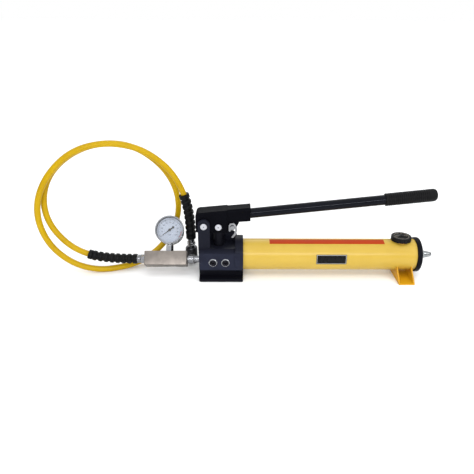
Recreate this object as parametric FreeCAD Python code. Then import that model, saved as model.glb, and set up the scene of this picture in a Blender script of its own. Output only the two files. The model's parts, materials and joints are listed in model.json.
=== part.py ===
import FreeCAD, Part
import math
import os

os.makedirs("parts", exist_ok=True)

V = FreeCAD.Vector

# A single-acting hydraulic hand pump with its pressure gauge and hose.
# X runs along the reservoir towards the handle's grip, Z is up.
# The origin is the centre of the manifold's bottom face.

# ---- fits ----
FIT = 0.05              # radial clearance of threads, spigots and running fits
GAP = 0.3               # gap between bodies that pass each other

# ---- manifold casting ----
BASE_HALF_X = 48.5
BASE_HALF_Y = 50.0
BASE_TOP = 6.6
WAIST_HALF_Y = 33.0
WAIST_TOP = 24.0
BLOCK_HALF_Y = 40.0
SHOULDER_Z = 64.0
TOP_Z = 70.0
TOP_HALF_Y = 25.0
FLANGE_X = 30.5         # left face of the round flange that carries the reservoir
FLANGE_R = 43.0
EAR_X0 = -50.0
EAR_X1 = -24.0
EAR_IN = 20.0
EAR_OUT = 26.0
EAR_TOP = 138.0
WEB_TOP = 96.0          # the low rear wall that joins the rear ear to the flange

# ---- lever joint ----
FULCRUM_X = -37.0
FULCRUM_Z = 123.0
PISTON_X = -5.6
PISTON_PIN_Z = 119.0
PIN_R = 6.0
PIN_HEAD_R = 7.2
PIN_HEAD_H = 3.0
RING_H = 1.2

# ---- pump piston ----
PISTON_R = 8.0
PISTON_BOTTOM = 31.0
BORE_BOTTOM = 28.0
GLAND_R = 12.0
GLAND_BOTTOM = 54.0
GLAND_TOP = 106.0
HEAD_BOTTOM = 107.0
HEAD_TOP = 129.0
HEAD_HALF_Y = 8.0
SLOT_PLAY = 0.6         # room above and below the pin in the slot
SLOT_LEFT = 5.6         # room for the pin to move towards the fulcrum
SLOT_RIGHT = 0.9

# ---- beam and handle ----
CHEEK_OUT = EAR_IN - GAP
CHEEK_IN = 14.2
BEAM_X0 = -55.0
BEAM_X1 = 14.0
BEAM_TOP_Z = 150.5      # top of the beam at its left end
BEAM_RISE = 0.0965      # slope of its top
BEAM_Z0 = 106.5
CAVITY_X0 = -50.0
CAVITY_X1 = 11.4
CAVITY_Z1 = 146.0
HANDLE_SLOPE = 6.27     # degrees above level
HANDLE_X = 63.0         # a point on the handle's axis
HANDLE_Z = 144.0
HANDLE_R = 11.0
HANDLE_WALL = 2.2
SOCKET_HALF_Y = 18.0
SOCKET_X1 = 64.0
SOCKET_LOW_Z0 = 126.5   # underside of the socket where it meets the cheeks
SOCKET_LOW_Z1 = 130.5   # and at its mouth
HANDLE_START = -36.0    # distances along the handle's axis
HANDLE_END = 397.0
GRIP_START = 291.5
GRIP_END = 401.5
GRIP_R = 13.8

# ---- handle lock ----
LOCK_X = 24.5
LOCK_Z = 116.5
GUSSET_HALF_Y = 12.0
LOCK_PLATE = 2.5
LOCK_BOLT_R = 3.0

# ---- reservoir ----
TANK_Z = 45.0
TANK_R = 35.0
TANK_BORE_R = 31.5
TANK_X0 = BASE_HALF_X
TANK_X1 = 432.0
SPIGOT = 12.0
SEAL_R = 1.4            # section radius of the tank's O-rings
SEAL_RING_R = 29.95
CAP_R = 39.0
CAP_T = 11.0
TIE_R = 5.0
FILLER_X = 401.0
FILLER_BORE_R = 10.0
NECK_R = 15.0
NECK_TOP = 83.0
CAP_KNOB_R = 22.0
CAP_KNOB_Z0 = 81.0
CAP_KNOB_Z1 = 90.5
FOOT_X0 = 389.5
FOOT_X1 = 424.5
FOOT_T = 3.0
FOOT_HALF_Y = 61.5
PLATE_X0 = 209.5        # the blank plate on the tank's front
PLATE_X1 = 276.5

# ---- ports on the pump's centre plane ----
PORT_Z = 31.4
PORT_R = 7.5
PORT_DEPTH = 13.0
PLUG_XS = (-17.7, 9.7)
PLUG_Z = 42.4
PLUG_HEAD_R = 9.5
PLUG_R = 8.0
PLUG_PROUD = 1.6
PLUG_DISH_R = 6.6
CHAMBER_R = 5.5
VALVE_BALL_R = 4.0

# ---- gauge block and gauge, upright before they lean back ----
BLOCK_X0 = -173.5
BLOCK_X1 = -78.0
BLOCK_HALF = 16.0
LEAN = 37.0             # degrees that the block is screwed past upright
GAUGE_X = -119.0
GAUGE_Z = PORT_Z + 65.0
CASE_R = 31.0
CASE_FRONT = -13.2
CASE_BACK = 14.0
CASE_WALL = 1.5
BEZEL_R = 33.0
BEZEL_FRONT = -17.0
STEM_R = 6.5

# ---- hose ----
HOSE_R = 6.75
GUARD_R = 11.0
TURN_SHARE = 0.45       # share of the shorter run that an arc takes
HOSE_ROUTE = [
    (-191.5, 0.0, PORT_Z), (-261.5, 0.0, PORT_Z), (-331.0, 1.0, 52.0),
    (-378.0, 6.0, 103.0), (-392.0, 13.0, 159.0), (-374.0, 21.0, 220.0),
    (-325.0, 30.0, 266.0), (-262.0, 39.0, 289.0), (-193.0, 48.0, 283.0),
    (-138.0, 56.0, 243.0), (-107.0, 67.0, 190.0), (-100.0, 82.0, 128.0),
    (-114.0, 83.0, 72.0), (-147.0, 60.0, 31.0), (-190.0, 29.0, 9.0),
    (-236.0, 3.0, 6.8), (-285.0, -8.0, 6.8), (-338.0, -9.0, 24.0),
    (-382.0, -8.0, 66.0), (-401.0, -6.0, 124.0), (-394.0, -3.0, 180.0),
    (-362.0, 3.0, 235.0), (-308.0, 11.0, 280.0), (-240.0, 20.0, 295.0),
    (-172.0, 29.0, 281.0), (-120.0, 39.0, 240.0), (-91.0, 45.5, 192.0),
    (-77.5, 47.0, 144.0), (-72.5, 47.0, 100.0), (-72.5, 47.0, 62.0),
]

# ---- hose coupler, mouth down ----
COUPLER_X = HOSE_ROUTE[-1][0]
COUPLER_Y = HOSE_ROUTE[-1][1]
SLEEVE_R = 14.0
SLEEVE_TOP = 40.0
SLEEVE_BOTTOM = 0.5
MOUTH_R = 10.5
MOUTH_TOP = 20.5        # end of the mouth and start of the wider seat for the collar
SEAT_R = 11.3
SEAT_TOP = 28.0
COUPLER_FACE = 20.8


# ---- helpers ----
def box(x0, x1, y0, y1, z0, z1):
    return Part.makeBox(x1 - x0, y1 - y0, z1 - z0, V(x0, y0, z0))


def rod(radius, start, end):
    axis = V(*end) - V(*start)
    return Part.makeCylinder(radius, axis.Length, V(*start), axis)


def pipe(outer, inner, start, end):
    return rod(outer, start, end).cut(rod(inner, start, end))


def placed(shape, start, axis):
    shape.Placement = FreeCAD.Placement(V(*start), FreeCAD.Rotation(V(0, 0, 1), V(*axis)))
    return shape


def lathe(profile, start, axis):
    """Turn an outline of (height, radius) points about an axis through start."""
    points = [V(radius, 0, height) for height, radius in profile]
    face = Part.Face(Part.makePolygon(points + points[:1]))
    return placed(face.revolve(V(0, 0, 0), V(0, 0, 1), 360), start, axis)


def hexagon(flats, height, start, axis):
    corner = flats / math.sqrt(3)
    points = [V(corner * math.cos(math.radians(a)), corner * math.sin(math.radians(a)), 0)
              for a in range(0, 361, 60)]
    return placed(Part.Face(Part.makePolygon(points)).extrude(V(0, 0, height)), start, axis)


def prism_x(outline, x0, x1):
    points = [V(x0, y, z) for y, z in outline]
    return Part.Face(Part.makePolygon(points + points[:1])).extrude(V(x1 - x0, 0, 0))


def prism_y(outline, y0, y1):
    points = [V(x, y0, z) for x, z in outline]
    return Part.Face(Part.makePolygon(points + points[:1])).extrude(V(0, y1 - y0, 0))


def along(edge, axis):
    """Whether a straight edge runs along an axis."""
    span = edge.Vertexes[-1].Point - edge.Vertexes[0].Point
    return span.Length > 0.1 and abs(span.dot(V(*axis))) > 0.999 * span.Length


def soften(shape, radius, pick):
    return shape.makeFillet(radius, [edge for edge in shape.Edges if pick(edge)])


def coils(wire_r, coil_r, start, axis, length, count):
    """A compression spring, drawn as its separate coils."""
    unit = V(*axis)
    pitch = (length - 2 * wire_r) / (count - 1)
    rings = [Part.makeTorus(coil_r, wire_r, V(*start) + unit * (wire_r + i * pitch), unit)
             for i in range(count)]
    return Part.makeCompound(rings)


def save(name, shape):
    assert shape.isValid(), name
    shape.exportStep("parts/%s.step" % name)
    print("%-24s solids %d  volume %.1f mm3" % (name, len(shape.Solids), shape.Volume))


# ---- manifold ----
def manifold():
    half = [(BASE_HALF_Y, 0), (BASE_HALF_Y, BASE_TOP), (WAIST_HALF_Y, BASE_TOP),
            (WAIST_HALF_Y, WAIST_TOP), (BLOCK_HALF_Y, WAIST_TOP),
            (BLOCK_HALF_Y, SHOULDER_Z), (TOP_HALF_Y, TOP_Z)]
    outline = half + [(-y, z) for y, z in reversed(half)]
    body = prism_x(outline, -BASE_HALF_X, BASE_HALF_X)
    body = soften(body, 5.0, lambda e: along(e, (0, 0, 1)) and abs(e.Vertexes[0].Y) > 45)
    body = soften(body, 3.0, lambda e: along(e, (0, 0, 1)) and abs(e.Vertexes[0].Y) > 36)
    body = soften(body, 1.2, lambda e: e.BoundBox.ZMin > WAIST_TOP + 2
                  and not along(e, (0, 0, 1)))
    flange = rod(FLANGE_R, (FLANGE_X, 0, TANK_Z), (BASE_HALF_X, 0, TANK_Z))
    flange = flange.makeFillet(1.5, [e for e in flange.Edges if e.Closed])
    web = prism_y([(EAR_X1 - 4, SHOULDER_Z - 4), (FLANGE_X + 4, SHOULDER_Z - 4), (FLANGE_X + 4, 84),
                   (FLANGE_X - 8, WEB_TOP), (EAR_X1 - 4, WEB_TOP)], EAR_IN, EAR_OUT)
    body = body.fuse([flange, web, spigot(BASE_HALF_X, 1)] + [ear(side) for side in (-1, 1)])
    return body.removeSplitter().cut(manifold_bores())


def spigot(face_x, way):
    """The turned stub that carries an O-ring inside the tank, from a face along X."""
    stub = rod(TANK_BORE_R - FIT, (face_x, 0, TANK_Z), (face_x + way * SPIGOT, 0, TANK_Z))
    groove_half = SEAL_R + 0.2
    mid = face_x + way * SPIGOT / 2
    ends = ((mid - groove_half, 0, TANK_Z), (mid + groove_half, 0, TANK_Z))
    return stub.cut(pipe(TANK_BORE_R + 1, SEAL_RING_R - SEAL_R - 0.05, *ends))


def ear(side):
    """One of the two lugs that hold the fulcrum pin."""
    y0 = min(side * EAR_IN, side * EAR_OUT)
    radius = (EAR_X1 - EAR_X0) / 2
    lug = box(EAR_X0, EAR_X1, y0, y0 + EAR_OUT - EAR_IN, SHOULDER_Z - 4, EAR_TOP)
    lug = soften(lug, radius - 0.5,
                 lambda e: along(e, (0, 1, 0)) and e.Vertexes[0].Z > EAR_TOP - 1)
    return soften(lug, 1.0, lambda e: e.BoundBox.ZMax > SHOULDER_Z
                  and abs(e.CenterOfMass.y - side * EAR_OUT) < 0.1)


def manifold_bores():
    pin = rod(PIN_R + FIT / 2, (FULCRUM_X, -EAR_OUT, FULCRUM_Z), (FULCRUM_X, EAR_OUT, FULCRUM_Z))
    cuts = [
        pin,
        rod(GLAND_R + FIT, (PISTON_X, 0, GLAND_BOTTOM), (PISTON_X, 0, TOP_Z + 1)),
        rod(PISTON_R + FIT, (PISTON_X, 0, BORE_BOTTOM), (PISTON_X, 0, GLAND_BOTTOM)),
        rod(PORT_R, (-BASE_HALF_X - 1, 0, PORT_Z), (-BASE_HALF_X + PORT_DEPTH, 0, PORT_Z)),
        rod(TIE_R + FIT, (FLANGE_X, 0, TANK_Z), (BASE_HALF_X + SPIGOT, 0, TANK_Z)),
        rod(4 + FIT, (BASE_HALF_X, 0, SUCTION_Z), (BASE_HALF_X + SPIGOT, 0, SUCTION_Z)),
    ]
    for x in PLUG_XS:
        cuts.append(rod(PLUG_R + FIT, (x, -BLOCK_HALF_Y - 1, PLUG_Z), (x, -28, PLUG_Z)))
        cuts.append(rod(CHAMBER_R, (x, -28, PLUG_Z), (x, -12, PLUG_Z)))
    for x in (RELEASE_X, RELIEF_X):
        cuts.append(rod(6 + FIT, (x, 26, PLUG_Z), (x, BLOCK_HALF_Y + 1, PLUG_Z)))
        cuts.append(rod(CHAMBER_R - 1.5, (x, 14, PLUG_Z), (x, 26, PLUG_Z)))
    return Part.makeCompound(cuts).fuse(passages())


def passages():
    """The drilled oilways, each a straight hole between two points."""
    left, right = PLUG_XS
    drill_r = 2.0
    runs = [
        ((left, -12, PLUG_Z), (left, 0, PLUG_Z)),
        ((left, 0, PLUG_Z), (PISTON_X, 0, PLUG_Z)),
        ((left, -20, PLUG_Z), (left, -20, PORT_Z)),
        ((left, -20, PORT_Z), (left, 0, PORT_Z)),
        ((left, 0, PORT_Z), (-BASE_HALF_X + PORT_DEPTH, 0, PORT_Z)),
        ((right, -12, PLUG_Z), (right, 0, PLUG_Z)),
        ((right, 0, PLUG_Z), (right, 0, SUCTION_Z)),
        ((right, 0, SUCTION_Z), (BASE_HALF_X, 0, SUCTION_Z)),
        ((right, -18, PLUG_Z), (PISTON_X, 0, PLUG_Z)),
        ((RELEASE_X, 14, PLUG_Z), (RELEASE_X, 0, PORT_Z)),
        ((RELIEF_X, 14, PLUG_Z), (PISTON_X, 0, PLUG_Z)),
    ]
    holes = [rod(drill_r, start, end) for start, end in runs]
    return holes[0].fuse(holes[1:])


# ---- valves in the manifold ----
SUCTION_Z = 22.0
RELEASE_X = -22.0
RELIEF_X = 14.0


def valve_plug(x):
    face = -BLOCK_HALF_Y - PLUG_PROUD
    head = lathe([(0, 0), (0, PLUG_DISH_R), (0, PLUG_HEAD_R - 1.1), (1.1, PLUG_HEAD_R),
                  (PLUG_PROUD, PLUG_HEAD_R), (PLUG_PROUD, PLUG_R), (12, PLUG_R), (12, 0)],
                 (x, face, PLUG_Z), (0, 1, 0))
    dish = lathe([(-1, 0), (-1, PLUG_DISH_R + 1), (1.6, PLUG_DISH_R - 1.4), (1.6, 0)],
                 (x, face, PLUG_Z), (0, 1, 0))
    return head.cut(dish).cut(hexagon(8, 6, (x, face, PLUG_Z), (0, 1, 0)))


def ball(radius, x, y):
    return Part.makeSphere(radius, V(x, y, PLUG_Z))


def release_bush():
    body = hexagon(22, 6, (RELEASE_X, BLOCK_HALF_Y, PLUG_Z), (0, 1, 0))
    thread = rod(6, (RELEASE_X, 28, PLUG_Z), (RELEASE_X, BLOCK_HALF_Y, PLUG_Z))
    return body.fuse(thread).cut(rod(3.5 + FIT, (RELEASE_X, 27, PLUG_Z), (RELEASE_X, 47, PLUG_Z)))


def release_spindle():
    """The needle that closes the return oilway, turned by the knob."""
    profile = [(0, 0), (2.5, 2.4), (12, 2.4), (14, 3.5), (46, 3.5), (46, 0)]
    return lathe(profile, (RELEASE_X, 15, PLUG_Z), (0, 1, 0))


def release_knob():
    """A round hand knob with eight finger hollows in its rim."""
    y0 = BLOCK_HALF_Y + 7.5
    y1 = y0 + 20
    knob = rod(15, (RELEASE_X, y0, PLUG_Z), (RELEASE_X, y1, PLUG_Z))
    knob = knob.makeFillet(2.0, [e for e in knob.Edges if e.Closed])
    for i in range(8):
        angle = math.radians(45 * i)
        x = RELEASE_X + 18 * math.cos(angle)
        z = PLUG_Z + 18 * math.sin(angle)
        knob = knob.cut(rod(4.5, (x, y0 - 1, z), (x, y1 + 1, z)))
    return knob.cut(rod(3.5, (RELEASE_X, y0 - 1, PLUG_Z), (RELEASE_X, 61, PLUG_Z)))


def relief_plug():
    plug = rod(6, (RELIEF_X, 30, PLUG_Z), (RELIEF_X, BLOCK_HALF_Y, PLUG_Z))
    head = rod(7.5, (RELIEF_X, BLOCK_HALF_Y, PLUG_Z), (RELIEF_X, BLOCK_HALF_Y + 2, PLUG_Z))
    return plug.fuse(head).cut(hexagon(6, 4, (RELIEF_X, BLOCK_HALF_Y - 2, PLUG_Z), (0, 1, 0)))


# ---- piston and its gland ----
def piston_gland():
    foot = (PISTON_X, 0, GLAND_BOTTOM)
    gland = lathe([(0, PISTON_R + FIT), (0, GLAND_R), (GLAND_TOP - GLAND_BOTTOM - 1.2, GLAND_R),
                   (GLAND_TOP - GLAND_BOTTOM, GLAND_R - 1.2),
                   (GLAND_TOP - GLAND_BOTTOM, PISTON_R + FIT)], foot, (0, 0, 1))
    for z0, z1 in (SEAL_SEAT, WIPER_SEAT):
        gland = gland.cut(rod(10.2, (PISTON_X, 0, z0), (PISTON_X, 0, z1)))
    return gland


SEAL_SEAT = (GLAND_BOTTOM, GLAND_BOTTOM + 5)
WIPER_SEAT = (GLAND_TOP - 4, GLAND_TOP)


def gland_ring(seat):
    z0, z1 = seat
    return pipe(10.2, PISTON_R + FIT, (PISTON_X, 0, z0), (PISTON_X, 0, z1))


def piston():
    """The plunger, with a slotted head that lets its pin move in an arc."""
    x0 = PISTON_X - SLOT_LEFT - PIN_R - 3.2
    x1 = PISTON_X + SLOT_RIGHT + PIN_R + 3.2
    head = box(x0, x1, -HEAD_HALF_Y, HEAD_HALF_Y, HEAD_BOTTOM, HEAD_TOP)
    head = soften(head, 6.0, lambda e: along(e, (0, 1, 0)))
    slot_r = PIN_R + SLOT_PLAY
    xs = (PISTON_X - SLOT_LEFT + SLOT_PLAY, PISTON_X + SLOT_RIGHT - SLOT_PLAY)
    ends = [rod(slot_r, (x, -20, PISTON_PIN_Z), (x, 20, PISTON_PIN_Z)) for x in xs]
    slot = box(xs[0], xs[1], -20, 20, PISTON_PIN_Z - slot_r, PISTON_PIN_Z + slot_r)
    stem = rod(PISTON_R, (PISTON_X, 0, PISTON_BOTTOM), (PISTON_X, 0, HEAD_BOTTOM + 1))
    return stem.fuse(head).cut(slot.fuse(ends)).removeSplitter()


# ---- pins ----
def clevis_pin(x, z, face):
    """A headed pin with a groove for its retaining ring; face is the lug's outer y."""
    head = rod(PIN_HEAD_R, (x, -face - PIN_HEAD_H, z), (x, -face, z))
    head = soften(head, 0.8, lambda e: e.Closed and e.CenterOfMass.y < -face - 1)
    shank = rod(PIN_R, (x, -face, z), (x, face + 0.2, z))
    neck = rod(PIN_R - 1, (x, face, z), (x, face + 2 * RING_H, z))
    tail = rod(PIN_R, (x, face + 0.3 + RING_H, z), (x, face + 3, z))
    return head.fuse([shank, neck, tail]).removeSplitter()


def pin_ring(x, z, face):
    return pipe(8.5, PIN_R - 1 + FIT, (x, face + 0.25, z), (x, face + 0.25 + RING_H, z))


def pin_spacer(side):
    y0 = side * (HEAD_HALF_Y + GAP)
    return pipe(9.0, PIN_R + FIT / 2, (PISTON_X, y0, PISTON_PIN_Z), (PISTON_X, side * CHEEK_IN, PISTON_PIN_Z))


# ---- beam ----
SLOPE = math.radians(HANDLE_SLOPE)
HANDLE_DIR = (math.cos(SLOPE), 0, math.sin(SLOPE))


def on_handle(distance, y=0.0, up=0.0):
    """A point along the handle's axis, with offsets across it."""
    x = HANDLE_X + distance * math.cos(SLOPE) - up * math.sin(SLOPE)
    z = HANDLE_Z + distance * math.sin(SLOPE) + up * math.cos(SLOPE)
    return (x, y, z)


def beam_top(x):
    return BEAM_TOP_Z + (x - BEAM_X0) * BEAM_RISE


def beam():
    """The lever casting: two cheeks under a web, a handle socket and a gusset."""
    shell = prism_y([(BEAM_X0, BEAM_Z0), (BEAM_X1, BEAM_Z0), (BEAM_X1, beam_top(BEAM_X1)),
                     (BEAM_X0, beam_top(BEAM_X0))], -CHEEK_OUT, CHEEK_OUT)
    shell = soften(shell, 9.0, lambda e: along(e, (0, 1, 0)) and e.Vertexes[0].X < BEAM_X0 + 1
                   and e.Vertexes[0].Z > 130)
    shell = soften(shell, 3.0, lambda e: not along(e, (0, 1, 0)) and e.CenterOfMass.z > 110
                   and abs(abs(e.CenterOfMass.y) - CHEEK_OUT) < 0.1)
    boss = rod(11, (FULCRUM_X, -CHEEK_IN, FULCRUM_Z), (FULCRUM_X, CHEEK_IN, FULCRUM_Z))
    cavity = box(CAVITY_X0, CAVITY_X1, -CHEEK_IN, CHEEK_IN, BEAM_Z0 - 1, CAVITY_Z1)
    body = shell.fuse([gusset(), socket()]).cut(cavity).fuse(boss).removeSplitter()
    holes = [rod(PIN_R + FIT, (FULCRUM_X, -30, FULCRUM_Z), (FULCRUM_X, 30, FULCRUM_Z)),
             rod(PIN_R + FIT / 2, (PISTON_X, -30, PISTON_PIN_Z), (PISTON_X, 30, PISTON_PIN_Z)),
             rod(HANDLE_R + FIT / 2, on_handle(HANDLE_START), on_handle(20)),
             rod(LOCK_BOLT_R + FIT / 2, (LOCK_X, -20, LOCK_Z), (LOCK_X, -4, LOCK_Z)),
             rod(4 + FIT / 2, on_handle(-12), on_handle(-12, y=25))]
    return body.cut(Part.makeCompound(holes))


def gusset():
    rib = prism_y([(CAVITY_X1 - 1, BEAM_Z0 + 1), (BEAM_X1 + 1, BEAM_Z0 + 1), (34, 115),
                   (41.5, 131), (41.5, 140), (CAVITY_X1 - 1, 140)], -GUSSET_HALF_Y, GUSSET_HALF_Y)
    return soften(rib, 1.5, lambda e: not along(e, (0, 1, 0)) and e.CenterOfMass.x > BEAM_X1 + 2
                  and e.CenterOfMass.z < 138)


def socket():
    """The square box with rounded corners that the handle tube slides into."""
    x0 = CAVITY_X1 - 1
    block = prism_y([(x0, SOCKET_LOW_Z0), (SOCKET_X1, SOCKET_LOW_Z1),
                     (SOCKET_X1, beam_top(SOCKET_X1)), (x0, beam_top(x0))],
                    -SOCKET_HALF_Y, SOCKET_HALF_Y)
    block = soften(block, 6.0, lambda e: not along(e, (0, 1, 0)) and not along(e, (0, 0, 1)))
    return soften(block, 1.2, lambda e: e.BoundBox.XMin > SOCKET_X1 - 0.1)


def handle_tube():
    tube = rod(HANDLE_R, on_handle(HANDLE_START), on_handle(HANDLE_END))
    return tube.cut(rod(HANDLE_R - HANDLE_WALL, on_handle(HANDLE_START), on_handle(HANDLE_END)))


def handle_grip():
    length = GRIP_END - GRIP_START
    seat = HANDLE_END - GRIP_START + FIT
    grip = rod(GRIP_R, on_handle(GRIP_START), on_handle(GRIP_END))
    grip = soften(grip, 4.0, lambda e: e.Closed and e.CenterOfMass.x > HANDLE_X + 350)
    grip = soften(grip, 1.0, lambda e: e.Closed and e.CenterOfMass.x < HANDLE_X + 320)
    assert seat < length
    return grip.cut(rod(HANDLE_R + FIT / 2, on_handle(GRIP_START), on_handle(GRIP_START + seat)))


def handle_screw():
    screw = rod(4, on_handle(-12, y=HANDLE_R + FIT), on_handle(-12, y=SOCKET_HALF_Y + 1.5))
    return screw.cut(rod(2.2, on_handle(-12, y=SOCKET_HALF_Y - 2), on_handle(-12, y=SOCKET_HALF_Y + 2)))


def lock_plate():
    """The hook that drops over a stop to hold the handle down, cut from strip."""
    y1 = -GUSSET_HALF_Y - GAP
    y0 = y1 - LOCK_PLATE
    offsets = [(-5.5, -8), (-5.5, 4), (-3, 7.5), (3.5, 7.5), (8, 0), (8.5, -9), (5.5, -17),
               (0.5, -23.5)]
    path = [(LOCK_X + dx, LOCK_Z + dz) for dx, dz in offsets]
    pieces = [rod(6.8, (LOCK_X, y0, LOCK_Z), (LOCK_X, y1, LOCK_Z))]
    for (xa, za), (xb, zb) in zip(path, path[1:]):
        run = math.hypot(xb - xa, zb - za)
        nx = -(zb - za) / run * 2.1
        nz = (xb - xa) / run * 2.1
        pieces.append(prism_y([(xa + nx, za + nz), (xb + nx, zb + nz), (xb - nx, zb - nz),
                               (xa - nx, za - nz)], y0, y1))
    pieces += [rod(2.1, (x, y0, z), (x, y1, z)) for x, z in path]
    plate = pieces[0].fuse(pieces[1:]).removeSplitter()
    return plate.cut(rod(LOCK_BOLT_R + FIT, (LOCK_X, y0, LOCK_Z), (LOCK_X, y1, LOCK_Z)))


def lock_bolt():
    face = -GUSSET_HALF_Y - 2 * GAP - LOCK_PLATE
    head = hexagon(10, 4, (LOCK_X, face, LOCK_Z), (0, -1, 0))
    return head.fuse(rod(LOCK_BOLT_R, (LOCK_X, face, LOCK_Z), (LOCK_X, -4, LOCK_Z)))


# ---- reservoir ----
def reservoir_tube():
    tube = pipe(TANK_R, TANK_BORE_R, (TANK_X0, 0, TANK_Z), (TANK_X1, 0, TANK_Z))
    return tube.cut(rod(FILLER_BORE_R, (FILLER_X, 0, TANK_Z), (FILLER_X, 0, 90)))


def end_cap():
    disc = rod(CAP_R, (TANK_X1, 0, TANK_Z), (TANK_X1 + CAP_T, 0, TANK_Z))
    disc = soften(disc, 3.5, lambda e: e.Closed and e.CenterOfMass.x > TANK_X1 + 1)
    disc = soften(disc, 1.5, lambda e: e.Closed and e.CenterOfMass.x < TANK_X1 + 1
                  and e.BoundBox.YLength > 70)
    hole = rod(TIE_R + FIT, (TANK_X1 - SPIGOT, 0, TANK_Z), (TANK_X1 + CAP_T, 0, TANK_Z))
    return disc.fuse(spigot(TANK_X1, -1)).cut(hole)


def tank_seal(x):
    return Part.makeTorus(SEAL_RING_R, SEAL_R, V(x, 0, TANK_Z), V(1, 0, 0))


def tie_rod():
    return rod(TIE_R, (FLANGE_X, 0, TANK_Z), (TANK_X1 + CAP_T + 18, 0, TANK_Z))


def tie_washer():
    x = TANK_X1 + CAP_T
    return pipe(10.5, TIE_R + FIT, (x, 0, TANK_Z), (x + 2, 0, TANK_Z))


def dome_nut():
    """A long closed nut: spanner flats, then a taper to a rounded tip."""
    start = (TANK_X1 + CAP_T + 2, 0, TANK_Z)
    flats = hexagon(17, 11, start, (1, 0, 0))
    taper = lathe([(0, 0), (0, 8.3), (12.5, 8.3), (26, 5.6), (28.6, 4.2), (29.8, 2), (30, 0)],
                  start, (1, 0, 0))
    return flats.fuse(taper).cut(rod(TIE_R, start, (start[0] + 16, 0, TANK_Z)))


def suction_tube():
    x = BASE_HALF_X
    return pipe(4, 2.8, (x + 1, 0, SUCTION_Z), (x + 60, 0, SUCTION_Z))


def suction_strainer():
    x = BASE_HALF_X + 40
    return pipe(7.5, 4 + FIT, (x, 0, SUCTION_Z), (x + 20, 0, SUCTION_Z)).fuse(
        rod(7.5, (x + 20 + FIT, 0, SUCTION_Z), (x + 26, 0, SUCTION_Z)).fuse(
            pipe(7.5, 6, (x + 20, 0, SUCTION_Z), (x + 20 + FIT, 0, SUCTION_Z))))


def rear_foot():
    """A bent channel: a floor plate with two upright plates that cradle the tank."""
    outline = [(-FOOT_HALF_Y, 0), (FOOT_HALF_Y, 0), (FOOT_HALF_Y - 1, 3), (36, 24), (31, 29.5),
               (-31, 29.5), (-36, 24), (-FOOT_HALF_Y + 1, 3)]
    block = prism_x(outline, FOOT_X0, FOOT_X1)
    inside = box(FOOT_X0 + FOOT_T, FOOT_X1 - FOOT_T, -70, 70, FOOT_T, 60)
    foot = block.cut(inside).cut(rod(TANK_R, (FOOT_X0, 0, TANK_Z), (FOOT_X1, 0, TANK_Z)))
    return soften(foot, 1.2, lambda e: along(e, (0, 1, 0)) and e.BoundBox.ZMax < 0.1)


def filler_neck():
    neck = pipe(NECK_R, FILLER_BORE_R, (FILLER_X, 0, 70), (FILLER_X, 0, NECK_TOP))
    return neck.cut(rod(TANK_R, (FILLER_X - 30, 0, TANK_Z), (FILLER_X + 30, 0, TANK_Z)))


def filler_cap():
    """A screw cap: a ribbed rim over a plug that reaches down the neck."""
    rim = rod(CAP_KNOB_R, (FILLER_X, 0, CAP_KNOB_Z0), (FILLER_X, 0, CAP_KNOB_Z1))
    rim = soften(rim, 1.5, lambda e: e.Closed and e.CenterOfMass.z > CAP_KNOB_Z1 - 1)
    rim = rim.cut(rod(NECK_R + 0.5, (FILLER_X, 0, CAP_KNOB_Z0), (FILLER_X, 0, NECK_TOP + 2.6)))
    plug = rod(FILLER_BORE_R - FIT, (FILLER_X, 0, 74), (FILLER_X, 0, CAP_KNOB_Z1 - 2))
    for i in range(16):
        angle = math.radians(22.5 * i)
        x = FILLER_X + (CAP_KNOB_R + 0.6) * math.cos(angle)
        y = (CAP_KNOB_R + 0.6) * math.sin(angle)
        rim = rim.cut(rod(1.7, (x, y, CAP_KNOB_Z0), (x, y, CAP_KNOB_Z1 + 1)))
    return rim.fuse(plug).removeSplitter().cut(cap_dish())


def cap_dish():
    """The shallow round dish in the cap's top, with the finger bar left standing."""
    floor_z = CAP_KNOB_Z1 - 1.4
    dish = rod(15.5, (FILLER_X, 0, floor_z), (FILLER_X, 0, CAP_KNOB_Z1 + 1))
    dish = dish.cut(box(FILLER_X - 12.5, FILLER_X + 12.5, -3.2, 3.2, floor_z, CAP_KNOB_Z1 + 1))
    return dish.fuse(rod(1.6, (FILLER_X, 0, floor_z - 1), (FILLER_X, 0, CAP_KNOB_Z1 + 1)))


def filler_seal():
    return Part.makeTorus(12.4, 1.25, V(FILLER_X, 0, NECK_TOP + 1.3), V(0, 0, 1))


def nameplate():
    """A thin blank plate curved to the tank's front."""
    sheet = pipe(TANK_R + 0.6, TANK_R, (PLATE_X0, 0, TANK_Z), (PLATE_X1, 0, TANK_Z))
    reach = 60.0
    low = math.radians(-13)
    high = math.radians(24)
    wedge = prism_x([(0, TANK_Z), (-reach * math.cos(low), TANK_Z + reach * math.sin(low)),
                     (-reach * math.cos(high), TANK_Z + reach * math.sin(high))], PLATE_X0, PLATE_X1)
    return sheet.common(wedge)


# ---- outlet adapter, gauge block and gauge ----
def lean(shape):
    """Turn a part that is drawn upright back to where the block stands."""
    shape.rotate(V(0, 0, PORT_Z), V(1, 0, 0), -LEAN)
    return shape


def outlet_adapter():
    collar = lathe([(0, 0), (0, 9.4), (0.9, 10.3), (12.6, 10.3), (13.5, 9.4), (13.5, 0)],
                   (-76, 0, PORT_Z), (1, 0, 0))
    neck = rod(6.9, (-62.5, 0, PORT_Z), (-60.5, 0, PORT_Z)).fuse(
        rod(7.8, (-60.5, 0, PORT_Z), (-BASE_HALF_X, 0, PORT_Z)))
    ends = rod(PORT_R - FIT, (BLOCK_X1 - 10, 0, PORT_Z), (-BASE_HALF_X + 10, 0, PORT_Z))
    collet = rod(8.0, (BLOCK_X1, 0, PORT_Z), (-76, 0, PORT_Z))
    bore = rod(2.5, (BLOCK_X1 - 10, 0, PORT_Z), (-BASE_HALF_X + 10, 0, PORT_Z))
    return collar.fuse([neck, ends, collet]).cut(bore)


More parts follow.
